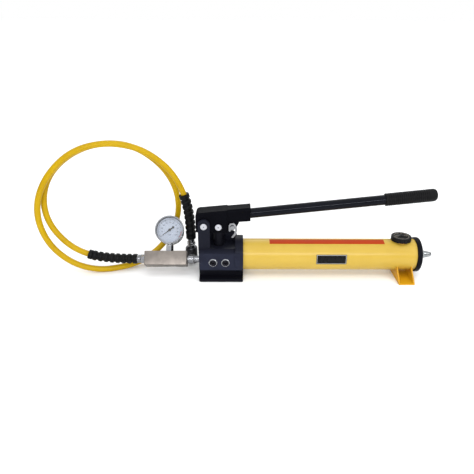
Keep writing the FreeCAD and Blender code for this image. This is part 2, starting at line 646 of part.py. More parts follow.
def gauge_block():
    block = box(BLOCK_X0, BLOCK_X1, -BLOCK_HALF, BLOCK_HALF, PORT_Z - BLOCK_HALF,
                PORT_Z + BLOCK_HALF)
    block = block.makeChamfer(0.8, block.Edges)
    cuts = [rod(3, (BLOCK_X0, 0, PORT_Z), (BLOCK_X1, 0, PORT_Z)),
            rod(PORT_R, (BLOCK_X0, 0, PORT_Z), (BLOCK_X0 + 14, 0, PORT_Z)),
            rod(PORT_R, (BLOCK_X1 - 12, 0, PORT_Z), (BLOCK_X1, 0, PORT_Z)),
            rod(STEM_R + FIT, (GAUGE_X, 0, PORT_Z + 4), (GAUGE_X, 0, PORT_Z + 20)),
            rod(2, (GAUGE_X, 0, PORT_Z), (GAUGE_X, 0, PORT_Z + 5))]
    return lean(block.cut(cuts[0].fuse(cuts[1:])))


def bourdon_shape():
    coil_r = 21.0
    section = Part.Face(Part.Wire(Part.makeCircle(2.4, V(GAUGE_X, 4, GAUGE_Z - coil_r), V(1, 0, 0))))
    return section.revolve(V(GAUGE_X, 4, GAUGE_Z), V(0, 1, 0), -250)


def gauge_stem():
    """The gauge's threaded socket: a thread, a spanner hexagon and an inner block."""
    top = PORT_Z + BLOCK_HALF
    thread = rod(STEM_R, (GAUGE_X, 0, PORT_Z + 5.5), (GAUGE_X, 0, top + 2))
    flats = hexagon(15, GAUGE_Z - BEZEL_R - 0.5 - top, (GAUGE_X, 0, top), (0, 0, 1))
    neck = rod(5, (GAUGE_X, 0, top + 2), (GAUGE_X, 0, GAUGE_Z - 26))
    inner = box(GAUGE_X - 6, GAUGE_X + 6, -2, 8, GAUGE_Z - 27, GAUGE_Z - 18)
    stem = thread.fuse([flats, neck, inner]).cut(bourdon_shape())
    return lean(stem.cut(rod(1.5, (GAUGE_X, 0, PORT_Z + 5), (GAUGE_X, 0, GAUGE_Z - 22))))


def gauge_case():
    cup = rod(CASE_R, (GAUGE_X, CASE_FRONT, GAUGE_Z), (GAUGE_X, CASE_BACK, GAUGE_Z))
    cup = soften(cup, 3.0, lambda e: e.Closed and e.CenterOfMass.y > CASE_BACK - 1)
    hollow = rod(CASE_R - CASE_WALL, (GAUGE_X, CASE_FRONT, GAUGE_Z),
                 (GAUGE_X, CASE_BACK - CASE_WALL, GAUGE_Z))
    stem_hole = rod(5 + FIT, (GAUGE_X, 0, GAUGE_Z - CASE_R - 2), (GAUGE_X, 0, GAUGE_Z - 25))
    return lean(cup.cut(hollow).cut(stem_hole))


def gauge_bezel():
    ring = pipe(BEZEL_R, CASE_R + FIT, (GAUGE_X, BEZEL_FRONT, GAUGE_Z), (GAUGE_X, -7, GAUGE_Z))
    lip = pipe(BEZEL_R - 1, 29.9, (GAUGE_X, BEZEL_FRONT, GAUGE_Z), (GAUGE_X, -15.3, GAUGE_Z))
    ring = soften(ring, 0.9, lambda e: e.Closed and e.BoundBox.XLength > 65)
    return lean(ring.fuse(lip).removeSplitter())


def gauge_window():
    return lean(rod(CASE_R - 0.2, (GAUGE_X, -15.25, GAUGE_Z), (GAUGE_X, CASE_FRONT - 0.05, GAUGE_Z)))


def gauge_dial():
    return lean(pipe(29.3, 2.0, (GAUGE_X, -9, GAUGE_Z), (GAUGE_X, -8.2, GAUGE_Z)))


def gauge_movement():
    plate = box(GAUGE_X - 9, GAUGE_X + 9, -2.5, 1.0, GAUGE_Z - 18, GAUGE_Z + 9)
    posts = [rod(1.2, (GAUGE_X + x, -8.2, GAUGE_Z), (GAUGE_X + x, -2, GAUGE_Z)) for x in (-6, 6)]
    return lean(plate.fuse(posts).cut(rod(1 + FIT, (GAUGE_X, -9, GAUGE_Z), (GAUGE_X, 9, GAUGE_Z))))


def gauge_needle():
    """The pointer at zero, at the lower left, with its counterweight and spindle."""
    angle = math.radians(218)
    ux = math.cos(angle)
    uz = math.sin(angle)

    def at(reach, side):
        return (GAUGE_X + reach * ux - side * uz, GAUGE_Z + reach * uz + side * ux)

    blade = prism_y([at(22.5, 0.25), at(0, 1.5), at(-9, 1.3), at(-9, -1.3), at(0, -1.5), at(22.5, -0.25)],
                    -11.4, -10.8)
    tail_x, tail_z = at(-10, 0)
    tail = rod(2.6, (tail_x, -11.4, tail_z), (tail_x, -10.8, tail_z))
    hub = rod(3, (GAUGE_X, -12.2, GAUGE_Z), (GAUGE_X, -10.4, GAUGE_Z))
    spindle = rod(1, (GAUGE_X, -11, GAUGE_Z), (GAUGE_X, 3, GAUGE_Z))
    return lean(blade.fuse([tail, hub, spindle]).removeSplitter())


# ---- hose ----
def rounded_route(points):
    """Straight runs joined by tangent arcs, as edges, with the arcs' radii."""
    corners = [V(*point) for point in points]
    edges = []
    radii = []
    start = corners[0]
    for before, corner, after in zip(corners, corners[1:], corners[2:]):
        back = before - corner
        ahead = after - corner
        reach = TURN_SHARE * min(back.Length, ahead.Length)
        turn = math.pi - back.getAngle(ahead)
        radius = reach / math.tan(turn / 2)
        back.normalize()
        ahead.normalize()
        inward = back + ahead
        inward.normalize()
        first = corner + back * reach
        last = corner + ahead * reach
        middle = corner + inward * (math.hypot(radius, reach) - radius)
        edges.append(Part.LineSegment(start, first).toShape())
        edges.append(Part.Arc(first, middle, last).toShape())
        radii.append(radius)
        start = last
    edges.append(Part.LineSegment(start, corners[-1]).toShape())
    return edges, radii


def swept(edges, start, outer, inner=None):
    """A round solid, or a sleeve, along edges that begin at start."""
    path = Part.Wire(edges)
    toward = edges[0].tangentAt(edges[0].FirstParameter)
    wires = [Part.Wire(Part.makeCircle(outer, start, toward))]
    solid = path.makePipe(Part.Face(wires[0]))
    if inner:
        solid = solid.cut(path.makePipe(Part.Face(Part.Wire(Part.makeCircle(inner, start, toward)))))
    return solid


ROUTE_EDGES, ROUTE_RADII = rounded_route(HOSE_ROUTE)
GUARD_EDGES = 3         # edges of the route that the first guard covers
GUARD_B_EDGES = 5       # edges of the route that the second guard covers


def hose_tube():
    return swept(ROUTE_EDGES, V(*HOSE_ROUTE[0]), HOSE_R)


def inlet_guard():
    return swept(ROUTE_EDGES[:GUARD_EDGES], V(*HOSE_ROUTE[0]), GUARD_R, HOSE_R + FIT)


def outlet_guard():
    edges = ROUTE_EDGES[-GUARD_B_EDGES:]
    return swept(edges, edges[0].valueAt(edges[0].FirstParameter), GUARD_R, HOSE_R + FIT)


def inlet_fitting():
    """The hose's swaged end that screws into the gauge block."""
    x = BLOCK_X0
    nut = hexagon(19, 9, (x, 0, PORT_Z), (-1, 0, 0))
    ferrule = rod(9, (x - 9, 0, PORT_Z), (x - 18, 0, PORT_Z))
    thread = rod(PORT_R - FIT, (x, 0, PORT_Z), (x + 12, 0, PORT_Z))
    return nut.fuse([ferrule, thread]).cut(rod(2.5, (x - 18, 0, PORT_Z), (x + 12, 0, PORT_Z)))


def outlet_fitting():
    """The hose's other swaged end, with a spanner hexagon above the coupler."""
    x, y = COUPLER_X, COUPLER_Y
    ferrule = rod(7.5, (x, y, 62), (x, y, 53))
    nut = hexagon(17, 7, (x, y, 46), (0, 0, 1))
    shank = lathe([(0, 0), (0, 6.4), (6, 6.4), (7, 7.5), (7, 0)], (x, y, 46), (0, 0, 1))
    thread = rod(6, (x, y, 46), (x, y, 34))
    return ferrule.fuse([nut, shank, thread]).cut(rod(2.5, (x, y, 62), (x, y, 34)))


def coupler_body():
    """The steel core: a collar the sleeve hangs on and a seat for the ball."""
    x, y = COUPLER_X, COUPLER_Y
    core = rod(9 - FIT, (x, y, COUPLER_FACE), (x, y, 46))
    collar = rod(SEAT_R - GAP, (x, y, COUPLER_FACE), (x, y, SEAT_TOP - GAP))
    body = core.fuse(collar).cut(rod(6 + FIT / 2, (x, y, 34), (x, y, 46)))
    body = body.cut(rod(4.6, (x, y, COUPLER_FACE + 3), (x, y, 34)))
    return body.cut(rod(3.2, (x, y, COUPLER_FACE), (x, y, COUPLER_FACE + 4)))


def coupler_ball():
    return Part.makeSphere(4.2, V(COUPLER_X, COUPLER_Y, COUPLER_FACE + 6.2))


def coupler_sleeve():
    """The knurled union sleeve, free to turn on the core, open at the bottom."""
    x, y = COUPLER_X, COUPLER_Y
    sleeve = rod(SLEEVE_R, (x, y, SLEEVE_BOTTOM), (x, y, SLEEVE_TOP))
    sleeve = sleeve.makeFillet(1.2, [e for e in sleeve.Edges if e.Closed])
    sleeve = sleeve.cut(rod(9, (x, y, SEAT_TOP - 1), (x, y, SLEEVE_TOP + 1)))
    sleeve = sleeve.cut(rod(SEAT_R, (x, y, MOUTH_TOP), (x, y, SEAT_TOP)))
    return sleeve.cut(rod(MOUTH_R, (x, y, SLEEVE_BOTTOM - 1), (x, y, MOUTH_TOP)))


# ---- all the parts ----
save("manifold", manifold())
save("front_valve_plugs", Part.makeCompound([valve_plug(x) for x in PLUG_XS]))
save("check_balls", Part.makeCompound([ball(VALVE_BALL_R, x, -16.2) for x in PLUG_XS]))
save("check_springs", Part.makeCompound(
    [coils(0.5, 3.6, (x, -27.9, PLUG_Z), (0, 1, 0), 7.4, 4) for x in PLUG_XS]))
save("release_bush", release_bush())
save("release_spindle", release_spindle())
save("release_knob", release_knob())
save("relief_plug", relief_plug())
save("relief_ball", ball(3.0, RELIEF_X, 17.4))
save("relief_spring", coils(0.6, 3.0, (RELIEF_X, 20.6, PLUG_Z), (0, 1, 0), 9.2, 5))
save("piston_gland", piston_gland())
save("piston_seal", gland_ring(SEAL_SEAT))
save("piston_wiper", gland_ring(WIPER_SEAT))
save("piston", piston())
save("fulcrum_pin", clevis_pin(FULCRUM_X, FULCRUM_Z, EAR_OUT))
save("fulcrum_pin_ring", pin_ring(FULCRUM_X, FULCRUM_Z, EAR_OUT))
save("piston_pin", clevis_pin(PISTON_X, PISTON_PIN_Z, CHEEK_OUT))
save("piston_pin_ring", pin_ring(PISTON_X, PISTON_PIN_Z, CHEEK_OUT))
save("piston_pin_spacers", Part.makeCompound([pin_spacer(side) for side in (-1, 1)]))
save("lever_beam", beam())
save("handle_tube", handle_tube())
save("handle_grip", handle_grip())
save("handle_screw", handle_screw())
save("handle_lock_hook", lock_plate())
save("handle_lock_bolt", lock_bolt())
save("reservoir_tube", reservoir_tube())
save("reservoir_end_cap", end_cap())
save("tank_seal_front", tank_seal(BASE_HALF_X + SPIGOT / 2))
save("tank_seal_rear", tank_seal(TANK_X1 - SPIGOT / 2))
save("tie_rod", tie_rod())
save("tie_rod_washer", tie_washer())
save("tie_rod_nut", dome_nut())
save("suction_tube", suction_tube())
save("suction_strainer", suction_strainer())
save("rear_foot", rear_foot())
save("filler_neck", filler_neck())
save("filler_cap", filler_cap())
save("filler_seal", filler_seal())
save("nameplate", nameplate())
save("outlet_adapter", outlet_adapter())
save("gauge_block", gauge_block())
save("gauge_stem", gauge_stem())
save("gauge_case", gauge_case())
save("gauge_bezel", gauge_bezel())
save("gauge_window", gauge_window())
save("gauge_dial", gauge_dial())
save("gauge_movement", gauge_movement())
save("bourdon_tube", lean(bourdon_shape()))
save("gauge_needle", gauge_needle())
save("hose_inlet_fitting", inlet_fitting())
save("inlet_bend_guard", inlet_guard())
save("outlet_bend_guard", outlet_guard())
save("hose_outlet_fitting", outlet_fitting())
save("coupler_body", coupler_body())
save("coupler_ball", coupler_ball())
save("coupler_sleeve", coupler_sleeve())
hose = hose_tube()
save("hose_tube", hose)

route_length = sum(edge.Length for edge in ROUTE_EDGES)
print("hose length %.1f mm" % route_length)
print("hose volume over section times length %.5f"
      % (hose.Volume / (math.pi * HOSE_R ** 2 * route_length)))
print("hose arc radii", " ".join("%.0f" % radius for radius in ROUTE_RADII))
print("guard lengths %.1f %.1f" % (sum(e.Length for e in ROUTE_EDGES[:GUARD_EDGES]),
                                   sum(e.Length for e in ROUTE_EDGES[-GUARD_B_EDGES:])))
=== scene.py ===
# %% [markdown]
# # A hydraulic hand pump, piece by piece
# This lesson dresses a measured model of a workshop hand pump: a black casting with a
# yellow oil reservoir behind it, a long handle, a pressure gauge on a steel block and a
# yellow hose with its quick coupler. The shapes and sizes are already settled in the
# measured model, so each cell asks the same question: what is this piece made of, and
# what does the hand or the eye notice on it? Everything is in metres.

# %% Load the measured model
import json
import math

import bpy
from mathutils import Matrix, Vector


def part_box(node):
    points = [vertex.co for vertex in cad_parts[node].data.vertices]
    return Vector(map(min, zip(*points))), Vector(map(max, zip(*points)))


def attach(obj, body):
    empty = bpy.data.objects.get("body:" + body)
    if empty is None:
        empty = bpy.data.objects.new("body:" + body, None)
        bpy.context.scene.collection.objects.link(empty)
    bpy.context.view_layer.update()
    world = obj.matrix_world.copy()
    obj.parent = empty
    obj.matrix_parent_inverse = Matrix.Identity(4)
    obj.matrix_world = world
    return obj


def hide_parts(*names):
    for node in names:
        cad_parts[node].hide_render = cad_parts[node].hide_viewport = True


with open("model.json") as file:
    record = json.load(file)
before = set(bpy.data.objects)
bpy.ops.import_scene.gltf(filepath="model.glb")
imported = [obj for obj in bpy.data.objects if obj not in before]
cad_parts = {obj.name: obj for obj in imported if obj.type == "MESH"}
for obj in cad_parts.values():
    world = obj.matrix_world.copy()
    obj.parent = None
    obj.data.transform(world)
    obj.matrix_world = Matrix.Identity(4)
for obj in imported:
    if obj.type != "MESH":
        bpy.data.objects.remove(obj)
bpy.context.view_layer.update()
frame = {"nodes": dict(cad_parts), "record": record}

# %% [markdown]
# ## The camera
# The pump is seen from its long side and from about 25 degrees above. The lens is a little
# wide and the camera stands about a metre away, so the far end of the tank narrows only a
# little. A fraction of a degree of roll is the tilt that a quickly levelled camera has.

# %% Camera
CAMERA_PLACE = (0.0349, -0.970, 0.539)
LENS_MM = 36.456
LOOK_DOWN = 65
ROLL = 0.15

camera_data = bpy.data.cameras.new("camera")
camera_data.sensor_width = 36
camera_data.lens = LENS_MM
camera = bpy.data.objects.new("camera", camera_data)
bpy.context.scene.collection.objects.link(camera)
tilt = Matrix.Rotation(math.radians(LOOK_DOWN), 4, "X")
roll = Matrix.Rotation(math.radians(ROLL), 4, "Z")
camera.matrix_world = Matrix.Translation(CAMERA_PLACE) @ tilt @ roll
bpy.context.scene.camera = camera
bpy.context.scene.view_settings.view_transform = "Standard"
print("camera at", tuple(round(v, 3) for v in camera.location))

# %% [markdown]
# ## The hose
# A thermoplastic hose is stiff: it keeps the set of its coil, so it stands up in two open
# loops and comes down on its coupler. It is one NURBS line through a few control points,
# because a smooth curve of low order bends the way such a hose does. The order is set after
# the points are there, or Blender keeps straight runs. A second line with no thickness, the
# guide, will later bend the rubber boots onto the hose.

# %% The hose's line
PORT_Z = 0.0314
HOSE_RADIUS = 0.00675
HOSE_ROUTE = [
    (-0.1915, 0.0, PORT_Z), (-0.2615, 0.0, PORT_Z), (-0.331, 0.001, 0.052),
    (-0.378, 0.006, 0.103), (-0.392, 0.013, 0.159), (-0.374, 0.021, 0.220),
    (-0.325, 0.030, 0.266), (-0.262, 0.039, 0.289), (-0.193, 0.048, 0.283),
    (-0.138, 0.056, 0.243), (-0.107, 0.067, 0.190), (-0.100, 0.082, 0.128),
    (-0.114, 0.083, 0.072), (-0.147, 0.060, 0.031), (-0.190, 0.029, 0.009),
    (-0.236, 0.003, 0.0068), (-0.285, -0.008, 0.0068), (-0.338, -0.009, 0.024),
    (-0.382, -0.008, 0.066), (-0.401, -0.006, 0.124), (-0.394, -0.003, 0.180),
    (-0.362, 0.003, 0.235), (-0.308, 0.011, 0.280), (-0.240, 0.020, 0.295),
    (-0.172, 0.029, 0.281), (-0.120, 0.039, 0.240), (-0.091, 0.0455, 0.192),
    (-0.0775, 0.047, 0.144), (-0.0725, 0.047, 0.100), (-0.0725, 0.047, 0.062),
]


def hose_line(name):
    """A NURBS line along the hose's route, with no thickness yet."""
    data = bpy.data.curves.new(name, "CURVE")
    data.dimensions = "3D"
    data.resolution_u = 24
    spline = data.splines.new("NURBS")
    spline.points.add(len(HOSE_ROUTE) - 1)
    for point, place in zip(spline.points, HOSE_ROUTE):
        point.co = (*place, 1)
    spline.order_u = 3
    spline.use_endpoint_u = True
    line = bpy.data.objects.new(name, data)
    bpy.context.scene.collection.objects.link(line)
    return line


hose = hose_line("hose")
hose.data.bevel_depth = HOSE_RADIUS
hose.data.bevel_resolution = 7
guide = hose_line("guide")
centreline = [v.co.copy() for v in bpy.data.meshes.new_from_object(guide).vertices]
HOSE_LENGTH = sum((b - a).length for a, b in zip(centreline, centreline[1:]))
print("hose centreline %.3f m" % HOSE_LENGTH)

# %% [markdown]
# ## Tools for modelling
# A few helpers stand for moves that are made by hand all the time: deselect everything,
# apply a modifier, shade smooth, and say what a piece belongs to.

# %% Helpers for the hands
BODIES = frame["record"]["behaviour"]["bodies"]
BODY_OF = {node: body for body, nodes in BODIES.items() for node in nodes}
SLOT_OF = {row["node"]: row["material_slot"] for row in frame["record"]["subparts"]}


def pick_only(piece):
    """Deselects all, then selects one piece and makes it the active one."""
    bpy.ops.object.select_all(action="DESELECT")
    piece.select_set(True)
    bpy.context.view_layer.objects.active = piece


def finish_modifier(piece, kind, **settings):
    """Adds a modifier, sets it and applies it."""
    pick_only(piece)
    modifier = piece.modifiers.new(kind.lower(), kind)
    for name, value in settings.items():
        setattr(modifier, name, value)
    bpy.ops.object.modifier_apply(modifier=modifier.name)


def smooth(piece, degrees):
    """Shades smooth wherever two faces meet at less than the angle."""
    pick_only(piece)
    bpy.ops.object.shade_smooth_by_angle(angle=math.radians(degrees))


def belongs(piece, body, slot, *nodes):
    """Says what a piece rides on and which nodes it stands for; the slot is not used."""
    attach(piece, body)
    if nodes:
        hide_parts(*nodes)


def settle(piece, matrix):
    """Puts a piece where it belongs and leaves the place in its mesh."""
    piece.data.transform(matrix)
    piece.data.update()


print("bodies:", ", ".join(sorted(BODIES)))

# %% [markdown]
# ## Copies of measured pieces
# The measured pieces are loose triangles, so a copy is merged and its flat faces are
# dissolved before its edges get a small bevel. Real machined and moulded edges are never
# knife sharp, and that narrow band is where the light catches.

# %% Merge, bevel and smooth a copy
EDGE_ANGLE = 32
BEVELLED_ANGLE = 28
FLAT_ANGLE = 0.4


def clean_faces(piece, flat=0.0):
    """Merges doubles and dissolves the triangles of each flat face into one face."""
    pick_only(piece)
    if piece.data.has_custom_normals:
        bpy.ops.mesh.customdata_custom_splitnormals_clear()
    bpy.ops.object.mode_set(mode="EDIT")
    bpy.ops.mesh.select_all(action="SELECT")
    bpy.ops.mesh.remove_doubles(threshold=2e-6)
    if flat:
        bpy.ops.mesh.dissolve_limited(angle_limit=math.radians(flat))
    bpy.ops.mesh.select_all(action="DESELECT")
    bpy.ops.object.mode_set(mode="OBJECT")


def dressed(node, edge, finish):
    """A merged, smooth copy of a measured node that stands for it, with softened edges."""
    source = frame["nodes"][node]
    piece = bpy.data.objects.new(node + ".skin", source.data.copy())
    bpy.context.scene.collection.objects.link(piece)
    piece.data.materials.clear()
    clean_faces(piece, FLAT_ANGLE)
    if edge:
        finish_modifier(piece, "BEVEL", width=edge, segments=2, limit_method="ANGLE",
                        angle_limit=math.radians(EDGE_ANGLE), use_clamp_overlap=True,
                        harden_normals=False, miter_outer="MITER_SHARP")
        clean_faces(piece)
    smooth(piece, BEVELLED_ANGLE if edge else EDGE_ANGLE)
    piece.data.materials.append(finish)
    belongs(piece, BODY_OF[node], SLOT_OF[node], node)
    print("%-22s %6d faces" % (piece.name, len(piece.data.polygons)))


print("edges sharper than", EDGE_ANGLE, "degrees get a bevel")

# %% [markdown]
# ## A lathe
# Boots, ferrules, sleeve and grip are round, so each starts as an outline in one plane and
# is spun about the X axis. The seam is merged, and the normals are made to point outwards.

# %% Spin an outline


def turned(name, outline, steps):
    """An outline of (along, radius) points, turned on the lathe about the X axis."""
    mesh = bpy.data.meshes.new(name)
    edges = [(i, i + 1) for i in range(len(outline) - 1)]
    mesh.from_pydata([(a, 0, r) for a, r in outline], edges, [])
    piece = bpy.data.objects.new(name, mesh)
    bpy.context.scene.collection.objects.link(piece)
    pick_only(piece)
    bpy.ops.object.mode_set(mode="EDIT")
    bpy.ops.mesh.select_all(action="SELECT")
    bpy.ops.mesh.spin(steps=steps, angle=2 * math.pi, center=(0, 0, 0), axis=(1, 0, 0))
    bpy.ops.mesh.select_all(action="SELECT")
    bpy.ops.mesh.remove_doubles(threshold=1e-6)
    bpy.ops.mesh.normals_make_consistent(inside=False)
    bpy.ops.mesh.select_all(action="DESELECT")
    bpy.ops.object.mode_set(mode="OBJECT")
    return piece


print("lathe ready")

# %% [markdown]
# ## Tools for finishes
# A finish is a small sum: a base colour, plus speckle, plus wear, painted shade and painted
# highlights, plus fine bumps. Writing the sum as a sum keeps it readable, so one small class
# lets Python's own operators add the Math nodes, and one function adds any other node.

# %% Shader arithmetic


class Wire:
    """A shader socket that can be added, multiplied and compared like a number."""

    def __init__(self, tree, socket):
        self.tree = tree
        self.socket = socket

    def maths(self, operation, *terms):
        node = self.tree.nodes.new("ShaderNodeMath")
        node.operation = operation
        for slot, value in zip(node.inputs, terms):
            if isinstance(value, Wire):
                self.tree.links.new(value.socket, slot)
            else:
                slot.default_value = value
        return Wire(self.tree, node.outputs[0])

    def __add__(self, other):
        return self.maths("ADD", self, other)

    __radd__ = __add__

    def __sub__(self, other):
        return self.maths("SUBTRACT", self, other)

    def __rsub__(self, other):
        return self.maths("SUBTRACT", other, self)

    def __mul__(self, other):
        return self.maths("MULTIPLY", self, other)

    __rmul__ = __mul__

    def __pow__(self, other):
        return self.maths("POWER", self, other)

    def __gt__(self, other):
        return self.maths("GREATER_THAN", self, other)

    def __lt__(self, other):
        return self.maths("LESS_THAN", self, other)

    def sine(self):
        return self.maths("SINE", self)

    def least(self, other):
        return self.maths("MINIMUM", self, other)


def feed(tree, slot, value):
    """Links or sets one socket."""
    if isinstance(value, Wire):
        tree.links.new(value.socket, slot)
    elif isinstance(value, bpy.types.NodeSocket):
        tree.links.new(value, slot)
    elif isinstance(value, tuple) and len(value) == 3 and slot.type == "RGBA":
        slot.default_value = (*value, 1)
    else:
        slot.default_value = value


def add_node(tree, kind, settings=None, **values):
    """Adds a node, sets it, and then feeds its sockets by name or, as i0, by number."""
    made = tree.nodes.new(kind)
    for name, value in (settings or {}).items():
        if name == "stops":
            elements = made.color_ramp.elements
            while len(elements) < len(value):
                elements.new(0.5)
            for element, (at, shade) in zip(elements, value):
                element.position = at
                element.color = (*shade, 1)
        else:
            setattr(made, name, value)
    for name, value in values.items():
        key = int(name[1:]) if name[0] == "i" and name[1:].isdigit() else name
        feed(tree, made.inputs[key], value)
    return made


print("shader arithmetic ready")

# %% [markdown]
# ## One finish
# Each material is one Principled shader. What is the same all over goes straight onto the
# shader's sockets. What changes is made from noise on the object's own coordinates, so it
# stays with the piece when the piece moves.

# %% Finish and colour


class Finish:
    """One material: its node tree, its shader and short ways to add to them."""

    def __init__(self, name, **sockets):
        self.material = bpy.data.materials.new(name)
        self.material.use_nodes = True
        self.tree = self.material.node_tree
        self.shader = self.tree.nodes["Principled BSDF"]
        self.place = self.node("ShaderNodeTexCoord").outputs["Object"]
        for label, value in sockets.items():
            self.set(label.replace("_", " ").title().replace("Ior", "IOR"), value)

    def node(self, kind, settings=None, **values):
        return add_node(self.tree, kind, settings, **values)

    def set(self, label, value):
        feed(self.tree, self.shader.inputs[label], value)

    def wire(self, socket):
        return Wire(self.tree, socket)

    def axes(self):
        """The place on the object as three wires: along, across and up."""
        split = self.node("ShaderNodeSeparateXYZ", None, Vector=self.place)
        return [self.wire(split.outputs[i]) for i in range(3)]

    def noise(self, scale, detail=3.0, roughness=0.55, stretch=None):
        place = self.place
        if stretch:
            place = self.node("ShaderNodeMapping", None, Vector=place, Scale=stretch).outputs[0]
        made = self.node("ShaderNodeTexNoise", None, Vector=place, Scale=scale, Detail=detail,
                         Roughness=roughness)
        return self.wire(made.outputs[0])

    def cells(self, scale):
        made = self.node("ShaderNodeTexVoronoi", None, Vector=self.place, Scale=scale)
        return self.wire(made.outputs["Distance"])

    def between(self, value, low, high, out_low=0.0, out_high=1.0):
        """Stretches a value from low..high to out_low..out_high, and stops at both ends."""
        made = self.node("ShaderNodeMapRange", None, i0=value, i1=low, i2=high, i3=out_low,
                         i4=out_high)
        return self.wire(made.outputs[0])

    def mix(self, factor, first, second):
        made = self.node("ShaderNodeMix", {"data_type": "RGBA"}, i0=factor, i6=first, i7=second)
        return self.wire(made.outputs[2])

    def bump(self, height, strength=0.3, distance=0.0002):
        made = self.node("ShaderNodeBump", None, Height=height, Strength=strength,
                         Distance=distance)
        self.set("Normal", made.outputs[0])


def srgb(red, green, blue):
    """A colour as it looks, from 0 to 255, turned into the light it sends back."""
    shades = [v / 255 for v in (red, green, blue)]
    return tuple(v / 12.92 if v < 0.04045 else ((v + 0.055) / 1.055) ** 2.4 for v in shades)


print("finish tools ready")

# %% [markdown]
# ## Black paint
# The castings and the handle carry a gloss black. On sand castings it shows the soft pebble of
# the mould, on the tube it is nearly a mirror. The manifold's middle is painted a lighter
# blue-grey, a painted sheen for the light its gloss reflects. Painted shade keeps its flange
# below, and its top and ears above, deep black.

# %% Black finishes


def black_paint(name, smoothest, roughest, depth, gloss, thin, thick, painted_shade_heights=()):
    """Gloss black over a casting. Each painted-shade height is where a band of painted shade
    starts, is full, and its colour.
    """
    finish = Finish(name, ior=1.3, specular_ior_level=gloss, specular_tint=(0.82, 0.88, 1.0))
    pebble = finish.noise(420, 4) * 0.7 + finish.noise(1400, 2) * 0.3
    patch = finish.noise(24, 3)
    colour = finish.mix(finish.between(patch, 0.35, 0.7), thick, thin)
    if painted_shade_heights:
        up = finish.axes()[2]
        # Painted shade: each band darkens the colour below or above a height.
        for start, full, shade in painted_shade_heights:
            colour = finish.mix(finish.between(up, start, full), colour, shade)
    finish.set("Base Color", colour)
    finish.set("Roughness", finish.between(patch * 0.6 + pebble * 0.4, 0.3, 0.7, smoothest,
                                           roughest))
    finish.bump(pebble, depth, 0.0006)
    return finish.material


# Painted shade: the manifold's base flange, and its top and ears above the second height, are
# painted near black.
FLANGE_PAINTED_SHADE = (0.0255, 0.0225, srgb(12, 12, 18))
UPPER_PAINTED_SHADE = (0.0620, 0.0700, srgb(22, 23, 32))
LEVER_PAINT = black_paint("black_lever_paint", 0.3, 0.46, 0.3, 0.05,
                          srgb(11, 11, 16), srgb(7, 7, 11))
# The manifold's lighter blue-grey base is a painted sheen, the reflection of its gloss painted
# into its colour.
MANIFOLD_PAINT_PAINTED_SHEEN_AND_SHADE = black_paint("black_manifold_paint_painted_sheen_and_shade", 0.32, 0.46, 0.3, 0.2,
                             srgb(37, 40, 55), srgb(29, 31, 44), [FLANGE_PAINTED_SHADE, UPPER_PAINTED_SHADE])
BLACK_PAINT = black_paint("black_plain_paint", 0.3, 0.44, 0.12, 0.16,
                          srgb(16, 16, 22), srgb(10, 10, 15))
HANDLE_PAINT = black_paint("black_gloss_paint", 0.1, 0.15, 0.03, 0.26,
                           srgb(12, 12, 18), srgb(8, 8, 13))
print("black paints:", LEVER_PAINT.name, MANIFOLD_PAINT_PAINTED_SHEEN_AND_SHADE.name, BLACK_PAINT.name,
      HANDLE_PAINT.name)

# %% [markdown]
# ## Yellow paint
# The yellow is sprayed on smooth steel, with a faint orange-peel. On the tank it is mixed paler
# and whiter, a painted sheen standing in for the veil of light its gloss reflects. The tank
# also carries a plain orange band along its top. It is only a change of colour and gloss, so a
# mask in the shader draws it: a box in space, whose long edges wobble a little as a stuck
# band's do.

# %% Yellow finishes
TANK_AXIS_Z = 0.045
BAND_START, BAND_END = 0.107, 0.362
BAND_FRONT, BAND_BACK = -0.0142, 0.0030


def yellow_paint(name, deep, pale, band=False):
    finish = Finish(name, ior=1.4, specular_ior_level=0.26, coat_roughness=0.22)
    patch = finish.noise(14, 4)
    colour = finish.mix(finish.between(patch, 0.3, 0.72), deep, pale)
    shine = finish.between(patch, 0.3, 0.7, 0.3, 0.42)
    if band:
        along, across, up = finish.axes()
        edge = across + finish.noise(180, 2) * 0.0006
        mask = (edge > BAND_FRONT) * (edge < BAND_BACK) * (up > TANK_AXIS_Z)
        mask = mask * (along > BAND_START) * (along < BAND_END)
        orange = finish.mix(finish.between(patch, 0.3, 0.7), srgb(162, 48, 0),
                            srgb(172, 56, 0))
        colour = finish.mix(mask, colour, orange)
        finish.set("Roughness", shine + mask * 0.25)
        finish.set("Coat Weight", 0.25 - mask * 0.25)
    else:
        finish.set("Roughness", shine)
        finish.set("Coat Weight", 0.2)
    finish.set("Base Color", colour)
    finish.bump(finish.noise(260, 2), 0.12, 0.0004)
    return finish.material


YELLOW_PAINT = yellow_paint("yellow_paint", srgb(194, 140, 14), srgb(202, 150, 22))
# The tank's yellow is paler and whiter than the foot's: painted sheen, the veil its gloss
# reflects, painted into the colour.
TANK_PAINT_PAINTED_SHEEN = yellow_paint("yellow_paint_with_band_and_painted_sheen", srgb(190, 158, 60), srgb(198, 167, 70),
                          band=True)
print("yellow paints:", YELLOW_PAINT.name, TANK_PAINT_PAINTED_SHEEN.name)

# %% [markdown]
# ## Metal
# The metals differ in colour and in how they were made. Plated steel is bright with a
# faint haze, the gauge block is milled bar with a dull nickel plate and long tool marks,
# and the bezel and piston are polished until they mirror the room.

# %% Plain metals


def metal(name, light, dark, smoothest, roughest, grain=(1, 1, 1), grain_scale=900,
          depth=0.12):
    finish = Finish(name, metallic=1.0)
    haze = finish.noise(60, 4)
    lines = finish.noise(grain_scale, 3, 0.6, grain)
    finish.set("Base Color", finish.mix(finish.between(haze, 0.32, 0.7), light, dark))
    finish.set("Roughness", finish.between(haze * 0.5 + lines * 0.5, 0.3, 0.7, smoothest,
                                           roughest))
    finish.bump(lines, depth, 0.0001)
    return finish.material


